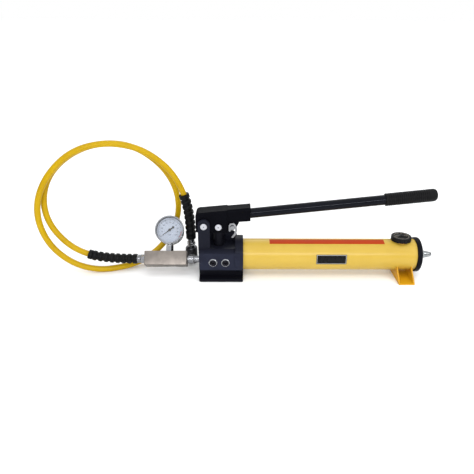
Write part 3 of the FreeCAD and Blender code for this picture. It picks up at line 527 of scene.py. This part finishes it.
TOOL_MARKS = (0.06, 1, 1)
BRIGHT_STEEL = metal("bright_plated_steel", srgb(148, 149, 152), srgb(126, 127, 131),
                     0.16, 0.3)
DARK_STEEL = metal("dark_oiled_steel", srgb(74, 74, 78), srgb(54, 54, 58), 0.3, 0.45)
CHROME = metal("polished_chrome", srgb(184, 187, 190), srgb(170, 173, 176), 0.06, 0.14)
BEZEL_STEEL = metal("bezel_steel", srgb(150, 152, 156), srgb(134, 136, 141), 0.1, 0.2)
BLOCK_PLATE = metal("dull_nickel_plate", srgb(136, 129, 123), srgb(120, 114, 109),
                    0.34, 0.5, TOOL_MARKS, 1600, 0.2)
NUT_ZINC = metal("nut_zinc", srgb(160, 163, 164), srgb(140, 143, 145), 0.12, 0.26)
BRASS = metal("brass", srgb(196, 160, 88), srgb(176, 140, 72), 0.2, 0.34)
print("plain metals ready")

# %% [markdown]
# ## Metal with the lathe's marks
# The ends of the two pins are faced on the lathe, which leaves fine rings and a small
# centre-drill hole. The hole is only dented by the bump and is darkened with painted shade. The
# valve plugs are blackened, and their turned rims carry a bright ring of painted highlight,
# where the light catches them. Both patterns are rings about an axis across the pump, so they
# are worked out from the distance to that axis.

# %% Turned metals
FULCRUM_AT = (-0.037, 0.123)
PISTON_PIN_AT = (-0.0056, 0.119)
PLUGS_X = (-0.0177, 0.0097)
PLUGS_Z = 0.0424
PLUG_RIM_RADIUS = 0.0076
PLUG_FACE_Y = -0.0402
RINGS_PER_METRE = 9000


def turned_face(name, centre):
    """Bright zinc on the faced end of a pin, with the lathe's fine rings and a centre mark of
    painted shade.
    """
    finish = Finish(name, metallic=1.0)
    along, across, up = finish.axes()
    east = along - centre[0]
    north = up - centre[1]
    reach = (east * east + north * north) ** 0.5
    rings = (reach * RINGS_PER_METRE).sine()
    # Painted shade: the centre-drill hole is darkened in the colour.
    mark = finish.between(reach, 0.0011, 0.0014, 1.0, 0.0)
    haze = finish.noise(260, 3)
    zinc = finish.mix(haze, srgb(196, 197, 203), srgb(176, 177, 184))
    finish.set("Base Color", finish.mix(mark, zinc, srgb(90, 91, 94)))
    finish.set("Roughness", finish.between(haze, 0.3, 0.7, 0.3, 0.44))
    finish.bump(rings * 0.5 - mark * 2, 0.25, 0.0001)
    return finish.material


def plug_steel():
    """Blackened steel with a painted highlight, a bright ring, on its turned rim."""
    finish = Finish("plug_steel", metallic=1.0)
    along, across, up = finish.axes()
    rise_squared = (up - PLUGS_Z) * (up - PLUGS_Z)
    near = [(along - x) * (along - x) + rise_squared for x in PLUGS_X]
    # Painted highlight: the rims outside the rim radius, in front of the plug face, are painted
    # bright steel.
    rim_painted_highlight = (near[0].least(near[1]) > PLUG_RIM_RADIUS ** 2) * (across < PLUG_FACE_Y)
    haze = finish.noise(300, 3)
    finish.set("Base Color", finish.mix(rim_painted_highlight, srgb(40, 40, 46), srgb(152, 154, 158)))
    finish.set("Roughness", finish.between(haze, 0.3, 0.7, 0.2, 0.32))
    finish.bump(haze, 0.1, 0.0001)
    return finish.material


FULCRUM_ZINC = turned_face("fulcrum_pin_zinc", FULCRUM_AT)
PISTON_ZINC = turned_face("piston_pin_zinc", PISTON_PIN_AT)
PLUG_STEEL_PAINTED_HIGHLIGHT = plug_steel()
print("turned metals:", FULCRUM_ZINC.name, PISTON_ZINC.name, PLUG_STEEL_PAINTED_HIGHLIGHT.name)

# %% [markdown]
# ## Rubber, plastic and print
# The grip and the bend guards are moulded rubber with a dull grain. Plastic is the same
# mixture with less grain and more shine, and so are the printed dial and plate.

# %% Moulded finishes


def moulded(name, light, dark, smoothest, roughest, grain=1500, depth=0.25):
    finish = Finish(name, ior=1.28, specular_ior_level=0.3)
    specks = finish.noise(grain, 3)
    patch = finish.noise(40, 3)
    finish.set("Base Color", finish.mix(finish.between(patch, 0.3, 0.7), dark, light))
    finish.set("Roughness", finish.between(patch * 0.5 + specks * 0.5, 0.3, 0.7, smoothest,
                                           roughest))
    finish.bump(specks, depth, 0.0003)
    return finish.material


RUBBER = moulded("moulded_rubber", srgb(15, 15, 17), srgb(9, 9, 10), 0.38, 0.55)
BLACK_PLASTIC = moulded("black_plastic", srgb(18, 18, 20), srgb(12, 12, 13), 0.28, 0.45,
                        900, 0.15)
SEAL_RUBBER = moulded("seal_rubber", srgb(24, 24, 24), srgb(16, 16, 16), 0.55, 0.7)
PLATE_BLACK = moulded("plate_black", srgb(20, 20, 22), srgb(14, 14, 15), 0.22, 0.34,
                      300, 0.05)
PLATE_LINE = moulded("plate_silver_line", srgb(208, 208, 204), srgb(190, 190, 186), 0.3, 0.4)
# The dial's bluish white is mixed down to a grey: its own tint, darkened with painted shade.
DIAL_WHITE_PAINTED_SHADE = moulded("dial_white", srgb(170, 179, 195), srgb(161, 170, 187), 0.35, 0.45,
                     700, 0.04)
DIAL_BLACK = moulded("dial_black", srgb(20, 20, 22), srgb(14, 14, 16), 0.35, 0.5, 700, 0.04)
DIAL_RED = moulded("dial_red", srgb(188, 34, 28), srgb(170, 28, 24), 0.35, 0.5, 700, 0.04)
print("moulded finishes ready")

# %% [markdown]
# ## Filler cap, hose jacket and glass
# The filler cap's black plastic carries painted highlights: pale rings along the rim of its
# dish and round two marks on its finger bar, where its edges catch the light. The hose jacket
# is a soft plastic with a deep colour, a little grime, and the faint print of the braid under
# it.

# %% Painted-highlight, braided and clear finishes
RIM_BAND = (0.0150, 0.0168)
MARK_BAND = (0.0019, 0.0032)
MARK_OFFSET = 0.0098
PAINTED_HIGHLIGHT_DEPTH = 0.0011


def cap_plastic():
    """Black plastic with painted highlights: pale rings on the cap's rim and round its two
    finger marks.
    """
    cap_low, cap_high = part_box("filler_cap")
    finish = Finish("cap_plastic", ior=1.28, specular_ior_level=0.3)
    along, across, up = finish.axes()
    east = along - (cap_low[0] + cap_high[0]) / 2
    reach_squared = east * east + across * across
    painted_highlight = (reach_squared > RIM_BAND[0] ** 2) * (reach_squared < RIM_BAND[1] ** 2)
    for side in (-1, 1):
        off = east - side * MARK_OFFSET
        mark_squared = off * off + across * across
        painted_highlight = painted_highlight + (mark_squared > MARK_BAND[0] ** 2) * (mark_squared < MARK_BAND[1] ** 2)
    # Painted highlight: pale rings on the dish's rim and round the bar's two marks, on the
    # cap's top, broken up by noise.
    scuff = finish.noise(300, 4)
    painted_highlight = painted_highlight * (up > cap_high[2] - PAINTED_HIGHLIGHT_DEPTH) * finish.between(scuff, 0.34, 0.56)
    base = finish.mix(scuff, srgb(12, 12, 13), srgb(18, 18, 20))
    finish.set("Base Color", finish.mix(painted_highlight * 0.85, base, srgb(156, 148, 136)))
    finish.set("Roughness", finish.between(scuff, 0.3, 0.7, 0.28, 0.45))
    finish.bump(finish.noise(900, 3), 0.15, 0.0003)
    return finish.material


def hose_jacket():
    finish = Finish("hose_jacket", ior=1.35, specular_ior_level=0.24, coat_roughness=0.2)
    patch = finish.noise(22, 4)
    braid = finish.cells(420)
    scuff = finish.noise(150, 5, 0.7)
    base = finish.mix(finish.between(patch, 0.3, 0.7), srgb(176, 140, 2), srgb(188, 153, 5))
    grime = finish.between(scuff, 0.62, 0.78)
    finish.set("Base Color", finish.mix(grime * 0.35, base, srgb(150, 118, 22)))
    finish.set("Roughness", finish.between(scuff, 0.3, 0.75, 0.3, 0.5))
    finish.set("Coat Weight", 0.05)
    finish.bump(braid * 0.5 + scuff * 0.5, 0.2, 0.0003)
    return finish.material


def clear_glass():
    finish = Finish("gauge_glass", base_color=(1, 1, 1), roughness=0.02, ior=1.45,
                    specular_ior_level=0.5, alpha=0.05)
    return finish.material


CAP_PLASTIC_PAINTED_HIGHLIGHT = cap_plastic()
HOSE_JACKET = hose_jacket()
GLASS = clear_glass()
print("special finishes:", CAP_PLASTIC_PAINTED_HIGHLIGHT.name, HOSE_JACKET.name, GLASS.name)

# %% [markdown]
# ## Manifold and lever
# The manifold is the pump's heart: one casting with a base flange, a waisted block and two
# ears for the lever's pin. The lever is a second casting with two cheeks and a square
# socket. Their machined edges are softened by half a millimetre or so.

# %% Castings
CAST_EDGE = 0.0006
dressed("manifold", CAST_EDGE, MANIFOLD_PAINT_PAINTED_SHEEN_AND_SHADE)
dressed("lever_beam", CAST_EDGE, LEVER_PAINT)

# %% [markdown]
# ## Pins, valves, gauge, tank and handle
# Most other pieces only need their merged copy, a small edge and the right finish. Round
# pieces with fillets of their own get no extra bevel.

# %% Small machined, moulded and painted pieces
for node, edge, finish in [
    ("fulcrum_pin", 0.0002, FULCRUM_ZINC), ("fulcrum_pin_ring", 0, DARK_STEEL),
    ("piston_pin", 0.0002, PISTON_ZINC), ("piston_pin_ring", 0, DARK_STEEL),
    ("piston_pin_spacers", 0, BRIGHT_STEEL), ("piston", 0.0003, CHROME),
    ("piston_gland", 0, BLACK_PAINT), ("front_valve_plugs", 0, PLUG_STEEL_PAINTED_HIGHLIGHT),
    ("release_bush", 0.0002, BRIGHT_STEEL), ("release_spindle", 0, BRIGHT_STEEL),
    ("relief_plug", 0.0002, BRIGHT_STEEL), ("handle_screw", 0.0002, BRIGHT_STEEL),
    ("handle_lock_hook", 0.0003, BRIGHT_STEEL), ("handle_lock_bolt", 0.0002, BRIGHT_STEEL),
    ("tie_rod_washer", 0.0002, BRIGHT_STEEL), ("tie_rod_nut", 0.0002, NUT_ZINC),
    ("outlet_adapter", 0, BRIGHT_STEEL), ("gauge_block", 0.0002, BLOCK_PLATE),
    ("gauge_stem", 0.0002, BRIGHT_STEEL), ("hose_inlet_fitting", 0.0002, BRIGHT_STEEL),
    ("hose_outlet_fitting", 0.0002, BRIGHT_STEEL), ("gauge_case", 0, BLACK_PAINT),
    ("gauge_bezel", 0, BEZEL_STEEL), ("gauge_window", 0, GLASS), ("gauge_dial", 0, DIAL_WHITE_PAINTED_SHADE),
    ("gauge_needle", 0, DIAL_BLACK), ("coupler_body", 0, BRIGHT_STEEL),
    ("release_knob", 0.0003, BLACK_PLASTIC), ("filler_cap", 0.0003, CAP_PLASTIC_PAINTED_HIGHLIGHT),
    ("filler_neck", 0, YELLOW_PAINT), ("rear_foot", 0.0004, YELLOW_PAINT),
    ("reservoir_end_cap", 0, BLACK_PAINT), ("reservoir_tube", 0, TANK_PAINT_PAINTED_SHEEN),
    ("handle_tube", 0, HANDLE_PAINT), ("nameplate", 0, PLATE_BLACK),
]:
    dressed(node, edge, finish)

# %% [markdown]
# ## The plate's border
# The plate on the tank is blank, with one thin silver line printed just inside its edge.
# The line is a flat frame, cut from a fine grid and then wrapped round the tank.

# %% Border line
PLATE_FACE_R = 0.0356
INSET = 0.0012
LINE = 0.0007
LINE_PROUD = 0.00002
LINE_THICK = 0.00008
plate_low, plate_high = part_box("nameplate")
plate_turns = [math.asin((z - TANK_AXIS_Z) / PLATE_FACE_R)
               for z in (plate_low[2], plate_high[2])]
flat_low = Vector((plate_low[0] + INSET, plate_turns[0] * PLATE_FACE_R + INSET, 0))
flat_high = Vector((plate_high[0] - INSET, plate_turns[1] * PLATE_FACE_R - INSET, 0))
bpy.ops.object.select_all(action="DESELECT")
bpy.ops.mesh.primitive_grid_add(x_subdivisions=2, y_subdivisions=24, size=1)
border = bpy.context.object
border.name = "plate_border"
span = flat_high - flat_low
middle = (flat_high + flat_low) / 2
border.data.transform(Matrix.Translation(middle) @ Matrix.Diagonal((span.x, span.y, 1, 1)))
pick_only(border)
bpy.ops.object.mode_set(mode="EDIT")
bpy.ops.mesh.select_all(action="SELECT")
bpy.ops.mesh.inset(thickness=LINE, depth=0)
bpy.ops.mesh.delete(type="FACE")
bpy.ops.object.mode_set(mode="OBJECT")
for vertex in border.data.vertices:
    turn = vertex.co.y / PLATE_FACE_R
    reach = PLATE_FACE_R + LINE_PROUD
    vertex.co = (vertex.co.x, -reach * math.cos(turn), TANK_AXIS_Z + reach * math.sin(turn))
finish_modifier(border, "SOLIDIFY", thickness=LINE_THICK, offset=1)
border.data.materials.append(PLATE_LINE)
belongs(border, "pump", "bright_steel")
print("border:", len(border.data.polygons), "faces on a plate %.4f m long"
      % (plate_high[0] - plate_low[0]))

# %% [markdown]
# ## Pieces that stay inside
# Balls, springs, seals and the gauge's movement are hidden once the pump is closed. They
# keep their measured shape and only take the finish of what they are made of.

# %% Inner pieces
INNER = {
    DARK_STEEL: ["check_balls", "check_springs", "relief_ball", "relief_spring", "tie_rod",
                 "coupler_ball"],
    SEAL_RUBBER: ["piston_seal", "piston_wiper", "tank_seal_front", "tank_seal_rear",
                  "filler_seal"],
    BRASS: ["suction_strainer", "gauge_movement", "bourdon_tube"],
    BRIGHT_STEEL: ["suction_tube"],
}
for finish, nodes in INNER.items():
    for node in nodes:
        mesh = frame["nodes"][node].data
        mesh.materials.clear()
        mesh.materials.append(finish)
print("inner pieces:", sum(len(nodes) for nodes in INNER.values()))

# %% [markdown]
# ## The bend guards
# Where the hose enters each fitting, a ribbed rubber boot keeps it from kinking. It is
# turned straight, as it is moulded, and then a Curve modifier bends it onto the guide line,
# so that it can never leave the hose. Long straight runs of its outline are divided first,
# or the bent boot would have corners.

# %% Ribbed outline
BOOT_BORE = HOSE_RADIUS + 0.00005
COLLAR = 0.010
RIB_ROUND = 0.0006
VALLEY_DEPTH = 0.0024
SLICE = 0.003


def ribbed_outline(start, length, rib_r, ribs):
    """(along, radius) points of a boot with rounded ribs and a slim collar at both ends."""
    outline = [(start, BOOT_BORE), (start, rib_r - RIB_ROUND), (start + 0.0006, rib_r)]
    pitch = (length - 2 * COLLAR) / ribs
    valley = rib_r - VALLEY_DEPTH
    outline.append((start + COLLAR - 0.0012, rib_r))
    for i in range(ribs):
        left = start + COLLAR + pitch * i
        outline += [(left, valley), (left + pitch * 0.28, valley),
                    (left + pitch * 0.36, rib_r - RIB_ROUND), (left + pitch * 0.46, rib_r),
                    (left + pitch * 0.84, rib_r), (left + pitch * 0.94, rib_r - RIB_ROUND)]
    end = start + length
    outline += [(end - COLLAR, valley), (end - COLLAR + 0.0012, rib_r - 0.0004),
                (end - 0.0008, rib_r - 0.0004), (end, rib_r - 0.0012), (end, BOOT_BORE)]
    outline.append(outline[0])
    return outline


def even_slices(outline, step):
    """Adds points on long straight runs, so that the bent piece curves evenly."""
    dense = []
    for (a0, r0), (a1, r1) in zip(outline, outline[1:]):
        parts = max(1, round(abs(a1 - a0) / step))
        dense += [(a0 + (a1 - a0) * i / parts, r0 + (r1 - r0) * i / parts)
                  for i in range(parts)]
    return dense + [outline[-1]]


print("boot outline:", len(ribbed_outline(0, 0.11, 0.0112, 7)), "points before slicing")

# %% Boots on the hose
RIBS = 7
INLET_GUARD_LENGTH = 0.1108
OUTLET_GUARD_LENGTH = 0.1096


def boot_on_hose(name, start, length, rib_r, node):
    """Turns a boot straight and bends it onto the hose's line."""
    outline = even_slices(ribbed_outline(start, length, rib_r, RIBS), SLICE)
    boot = turned(name, outline, 48)
    finish_modifier(boot, "CURVE", object=guide, deform_axis="POS_X")
    smooth(boot, 40)
    boot.data.materials.append(RUBBER)
    belongs(boot, BODY_OF[node], SLOT_OF[node], node)
    print(boot.name, len(boot.data.polygons), "faces")
    return boot


inlet_guard = boot_on_hose("inlet_guard", 0.0, INLET_GUARD_LENGTH, 0.0112,
                           "inlet_bend_guard")
outlet_guard = boot_on_hose("outlet_guard", HOSE_LENGTH - OUTLET_GUARD_LENGTH,
                            OUTLET_GUARD_LENGTH, 0.0118, "outlet_bend_guard")

# %% [markdown]
# ## The crimped ferrules
# A hose end is fixed by squeezing a steel shell onto it in a press. The dies leave a row of
# shallow grooves, so each ferrule is turned with grooves and slipped over the plain one.

# %% Crimped ferrules
GROOVES = 3
LAND_PROUD = 0.0002
INLET_SHELL = (0.0089, 0.00912)
OUTLET_SHELL = (0.0088, 0.00762)
COUPLER_X, COUPLER_Y = -0.0725, 0.047
UPRIGHT = Matrix.Rotation(math.radians(-90), 4, "Y")


def crimped_outline(length, radius):
    """(along, radius) points of a shell with rounded lands between its grooves."""
    inner = radius - 0.0006
    land = radius + LAND_PROUD
    groove = radius - LAND_PROUD
    outline = [(0, inner), (0, radius - 0.0003), (0.0004, land)]
    pitch = (length - 0.0008) / GROOVES
    for i in range(GROOVES):
        left = 0.0004 + pitch * i
        outline += [(left + pitch * 0.55, land), (left + pitch * 0.66, groove),
                    (left + pitch * 0.86, groove), (left + pitch * 0.97, land)]
    return outline + [(length, radius - 0.0003), (length, inner), (0, inner)]


inlet_ferrule = turned("inlet_ferrule", crimped_outline(*INLET_SHELL), 72)
inlet_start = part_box("hose_inlet_fitting")[0][0] + 0.00005
settle(inlet_ferrule, Matrix.Translation((inlet_start, 0, PORT_Z)))
outlet_ferrule = turned("outlet_ferrule", crimped_outline(*OUTLET_SHELL), 72)
outlet_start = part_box("hose_outlet_fitting")[1][2] - 0.0089
settle(outlet_ferrule, Matrix.Translation((COUPLER_X, COUPLER_Y, outlet_start)) @ UPRIGHT)
for ferrule, node in ((inlet_ferrule, "hose_inlet_fitting"),
                      (outlet_ferrule, "hose_outlet_fitting")):
    smooth(ferrule, 30)
    ferrule.data.materials.append(BRIGHT_STEEL)
    belongs(ferrule, "pump", SLOT_OF[node])
    print(ferrule.name, len(ferrule.data.polygons), "faces")

# %% [markdown]
# ## The coupler's sleeve
# The union sleeve at the hose's end is turned in a hurry with a hand in a glove, so its
# grip is cut with a coarse knurl. The sleeve is turned first, then every other row of
# points on its two grip bands is pulled in by half a millimetre.

# %% Knurled sleeve
SLEEVE_STEPS = 72
KNURL_RADIUS = 0.0138
KNURL_DEPTH = 0.0005
SLEEVE_OUTLINE = [
    (0.0005, 0.0105), (0.0005, 0.0128), (0.0012, 0.0136), (0.004, 0.0136), (0.0048, 0.0129),
    (0.0066, 0.0129), (0.0074, KNURL_RADIUS), (0.0200, KNURL_RADIUS), (0.0208, 0.0129),
    (0.0226, 0.0129), (0.0234, KNURL_RADIUS), (0.0360, KNURL_RADIUS), (0.0372, 0.0136),
    (0.0392, 0.0128), (0.0400, 0.0118), (0.0400, 0.0090), (0.0280, 0.0090),
    (0.0280, 0.0113), (0.0205, 0.0113), (0.0205, 0.0105), (0.0005, 0.0105),
]
sleeve = turned("knurled_sleeve", SLEEVE_OUTLINE, SLEEVE_STEPS)
for vertex in sleeve.data.vertices:
    radius = math.hypot(vertex.co.y, vertex.co.z)
    if radius > KNURL_RADIUS - 0.00001:
        step = round(math.atan2(vertex.co.z, vertex.co.y) / (2 * math.pi) * SLEEVE_STEPS)
        if step % 2:
            vertex.co.y *= 1 - KNURL_DEPTH / radius
            vertex.co.z *= 1 - KNURL_DEPTH / radius
settle(sleeve, Matrix.Translation((COUPLER_X, COUPLER_Y, 0)) @ UPRIGHT)
smooth(sleeve, 20)
sleeve.data.materials.append(DARK_STEEL)
belongs(sleeve, "sleeve", SLOT_OF["coupler_sleeve"], "coupler_sleeve")
print("sleeve:", len(sleeve.data.polygons), "faces")

# %% [markdown]
# ## The handle's grip
# The grip is a moulded rubber sleeve pushed over the tube. Fine rings give the palm
# something to hold, and its end is a soft dome.

# %% Ringed grip
HANDLE_SLOPE = math.radians(6.27)
HANDLE_AT = Vector((0.063, 0.0, 0.144))
GRIP_START = 0.2915
GRIP_END = 0.4015
GRIP_RADIUS = 0.0138
RING_DEPTH = 0.0006
RING_PITCH = 0.0044
TUBE_RADIUS = 0.01105
DOME_LENGTH = 0.009
DOME_ROUND = 0.006
DOME_STEPS = 8
grip_outline = [(GRIP_START, TUBE_RADIUS), (GRIP_START, GRIP_RADIUS - 0.0012),
                (GRIP_START + 0.001, GRIP_RADIUS), (GRIP_START + 0.005, GRIP_RADIUS)]
ring_at = GRIP_START + 0.006
while ring_at < GRIP_END - 0.018:
    grip_outline += [(ring_at, GRIP_RADIUS - RING_DEPTH),
                     (ring_at + 0.0008, GRIP_RADIUS - RING_DEPTH),
                     (ring_at + 0.0014, GRIP_RADIUS), (ring_at + 0.0036, GRIP_RADIUS)]
    ring_at += RING_PITCH
for i in range(DOME_STEPS + 1):
    turn = math.radians(90 * i / DOME_STEPS)
    grip_outline.append((GRIP_END - DOME_LENGTH + DOME_LENGTH * math.sin(turn),
                         GRIP_RADIUS - DOME_ROUND + DOME_ROUND * math.cos(turn)))
grip_outline += [(GRIP_END, 0.0), (GRIP_END - 0.004, 0.0), (GRIP_END - 0.004, TUBE_RADIUS),
                 (GRIP_START, TUBE_RADIUS)]
grip = turned("ringed_grip", grip_outline, 56)
settle(grip, Matrix.Translation(HANDLE_AT) @ Matrix.Rotation(-HANDLE_SLOPE, 4, "Y"))
smooth(grip, 35)
grip.data.materials.append(RUBBER)
belongs(grip, "lever", SLOT_OF["handle_grip"], "handle_grip")
print("grip:", len(grip.data.polygons), "faces")

# %% [markdown]
# ## The gauge's dial
# The dial is printed: a ring of ticks, round numbers at every fifth tick and a red mark
# near the top of the range. The marks are thin slabs a tenth of a millimetre proud of the
# dial. They are modelled flat, and the dial's own axes then lay them on its leaning face.

# %% Where the dial is
LEAN = math.radians(37)
GAUGE_X = -0.119
GAUGE_REACH = 0.065
DIAL_FACE = 0.009
SCALE_START = 218
SCALE_SWEEP = 256
MARK_PROUD = 0.0001
dial_right = Vector((1, 0, 0))
dial_up = Vector((0, math.sin(LEAN), math.cos(LEAN)))
dial_out = Vector((0, -math.cos(LEAN), math.sin(LEAN)))
dial_centre = Vector((GAUGE_X, 0, PORT_Z)) + dial_up * GAUGE_REACH + dial_out * DIAL_FACE
dial_axes = Matrix((dial_right, dial_up, dial_out)).transposed().to_4x4()
dial_matrix = Matrix.Translation(dial_centre) @ dial_axes


def on_dial(share, radius):
    """The place and the turn of a share of the scale, from 0 to 1."""
    turn = math.radians(SCALE_START - SCALE_SWEEP * share)
    return (radius * math.cos(turn), radius * math.sin(turn)), turn


print("dial centre:", tuple(round(v, 4) for v in dial_centre))

# %% Slabs and figures


def slab(name, wide, tall, at, turn):
    """A thin flat mark on the dial, before the dial leans."""
    bpy.ops.object.select_all(action="DESELECT")
    bpy.ops.mesh.primitive_cube_add(size=1)
    mark = bpy.context.object
    mark.name = name
    mark.data.transform(Matrix.Translation((at[0], at[1], MARK_PROUD / 2))
                        @ Matrix.Rotation(turn, 4, "Z")
                        @ Matrix.Diagonal((wide, tall, MARK_PROUD, 1)))
    return mark


def figure(value, at, height):
    """One round number on the dial, turned into a mesh."""
    data = bpy.data.curves.new("figure", "FONT")
    data.body = str(value)
    data.size = height
    data.align_x = "CENTER"
    data.align_y = "CENTER"
    data.extrude = MARK_PROUD / 2
    data.resolution_u = 4
    text = bpy.data.objects.new("figure", data)
    bpy.context.scene.collection.objects.link(text)
    pick_only(text)
    bpy.ops.object.convert(target="MESH")
    text = bpy.context.object
    text.data.transform(Matrix.Translation((at[0], at[1], MARK_PROUD / 2)))
    return text


def joined(name, pieces, finish):
    """Joins flat marks into one piece of one finish, laid on the dial."""
    bpy.ops.object.select_all(action="DESELECT")
    for piece in pieces:
        piece.select_set(True)
    bpy.context.view_layer.objects.active = pieces[0]
    bpy.ops.object.join()
    whole = bpy.context.object
    whole.name = name
    whole.data.materials.clear()
    whole.data.materials.append(finish)
    for face in whole.data.polygons:
        face.material_index = 0
    settle(whole, dial_matrix)
    belongs(whole, "pump", "needle_black")
    print(name, len(whole.data.polygons), "faces")


print("dial tools ready")

# %% Print the dial
TICKS = 50
TICKS_A_NUMBER = 5
TICK_END_RADIUS = 0.0262
ARC_PIECES = 96
NUMBERS = 11
NUMBER_RADIUS = 0.0182
NUMBER_HEIGHT = 0.0044
RED_FROM = 0.88
RED_PIECES = 14
RED_RADIUS = 0.0271
marks = []
for i in range(TICKS + 1):
    main = i % TICKS_A_NUMBER == 0
    reach = 0.0042 if main else 0.0024
    at, turn = on_dial(i / TICKS, TICK_END_RADIUS - reach / 2)
    marks.append(slab("tick", reach, 0.00055 if main else 0.00028, at, turn))
for i in range(ARC_PIECES):
    at, turn = on_dial((i + 0.5) / ARC_PIECES, TICK_END_RADIUS)
    marks.append(slab("arc", 0.00035, 0.00125, at, turn))
for i in range(NUMBERS):
    at, turn = on_dial(i / (NUMBERS - 1), NUMBER_RADIUS)
    marks.append(figure(i * 10, at, NUMBER_HEIGHT))
for wide, low in ((0.009, -0.0095), (0.006, -0.0115)):
    marks.append(slab("rule", wide, 0.0005, (0, low), 0))
joined("dial_marks", marks, DIAL_BLACK)
red = []
for i in range(RED_PIECES):
    at, turn = on_dial(RED_FROM + (1 - RED_FROM) * (i + 0.5) / RED_PIECES, RED_RADIUS)
    red.append(slab("red", 0.0009, 0.00125, at, turn))
joined("dial_red_band", red, DIAL_RED)

# %% [markdown]
# ## The hose on the pump
# The hose is a free hose of a known length. It gets its jacket and rides on the pump, and every
# piece that sits on it is gathered in a list. The guide has done its work and goes.

# %% Hose on the pump
hose.data.materials.append(HOSE_JACKET)
bpy.data.objects.remove(guide)
belongs(hose, "pump", SLOT_OF["hose_tube"], "hose_tube")
on_hose = [inlet_guard, outlet_guard, sleeve, inlet_ferrule, outlet_ferrule]
on_hose += [bpy.data.objects[name + ".skin"]
            for name in ("hose_inlet_fitting", "hose_outlet_fitting", "coupler_body")]
on_hose.append(frame["nodes"]["coupler_ball"])
print("pieces on the hose:", len(on_hose))

# %% [markdown]
# ## Floor and room
# A pale floor runs far back, under a room that is bright overhead and darker towards the
# horizon. Bright metal shows only what is around it, and that dark band is what gives it an
# outline on a white floor. The camera itself sees plain white paper instead of the room.

# %% Floor and room
SKY_HEIGHTS = [(0.0, 0.17), (0.40, 0.22), (0.64, 0.85), (1.0, 1.0)]
SKY_STRENGTH = 1.55

bpy.ops.object.select_all(action="DESELECT")
bpy.ops.mesh.primitive_plane_add(size=90, location=(0, 0, 0))
floor = bpy.context.object
floor.name = "floor"
floor.data.materials.append(Finish("floor_pale", base_color=(0.96, 0.96, 0.96), roughness=0.9,
                                   specular_ior_level=0.2).material)

room = bpy.data.worlds.new("room")
bpy.context.scene.world = room
room.use_nodes = True
tree = room.node_tree
way = add_node(tree, "ShaderNodeTexCoord").outputs["Generated"]
height = add_node(tree, "ShaderNodeSeparateXYZ", None, i0=way).outputs[2]
shades = [(at, (shade * 0.98, shade * 0.99, shade)) for at, shade in SKY_HEIGHTS]
sky = add_node(tree, "ShaderNodeValToRGB", {"stops": shades}, i0=height)
light = tree.nodes["Background"]
feed(tree, light.inputs[0], sky.outputs[0])
feed(tree, light.inputs[1], SKY_STRENGTH)
paper = add_node(tree, "ShaderNodeBackground", None, Color=(1, 1, 1))
seen = add_node(tree, "ShaderNodeLightPath").outputs["Is Camera Ray"]
both = add_node(tree, "ShaderNodeMixShader", None, i0=seen, i1=light.outputs[0],
                i2=paper.outputs[0])
feed(tree, tree.nodes["World Output"].inputs[0], both.outputs[0])
print("floor", tuple(floor.dimensions), "and a room of", len(shades), "shades")

# %% [markdown]
# ## Lamps
# A long strip lamp near the camera draws the streak along the tank, the handle and the
# hose. Two weaker ones keep the right end and the back alive.

# %% Lamps


def lamp(name, place, aim, size, power):
    data = bpy.data.lights.new(name, "AREA")
    data.shape = "RECTANGLE"
    data.size, data.size_y = size
    data.energy = power
    light = bpy.data.objects.new(name, data)
    bpy.context.scene.collection.objects.link(light)
    light.location = place
    light.rotation_euler = (Vector(aim) - Vector(place)).to_track_quat("-Z", "Y").to_euler()


lamp("front_strip", (0.05, -1.55, 0.80), (0.05, 0, 0.12), (1.8, 0.13), 17)
lamp("right_strip", (1.3, -0.7, 0.9), (0.2, 0, 0.1), (0.25, 0.8), 4)
lamp("back_strip", (0.0, 1.5, 1.0), (0.05, 0, 0.1), (1.6, 0.2), 6)
print("three lamps")
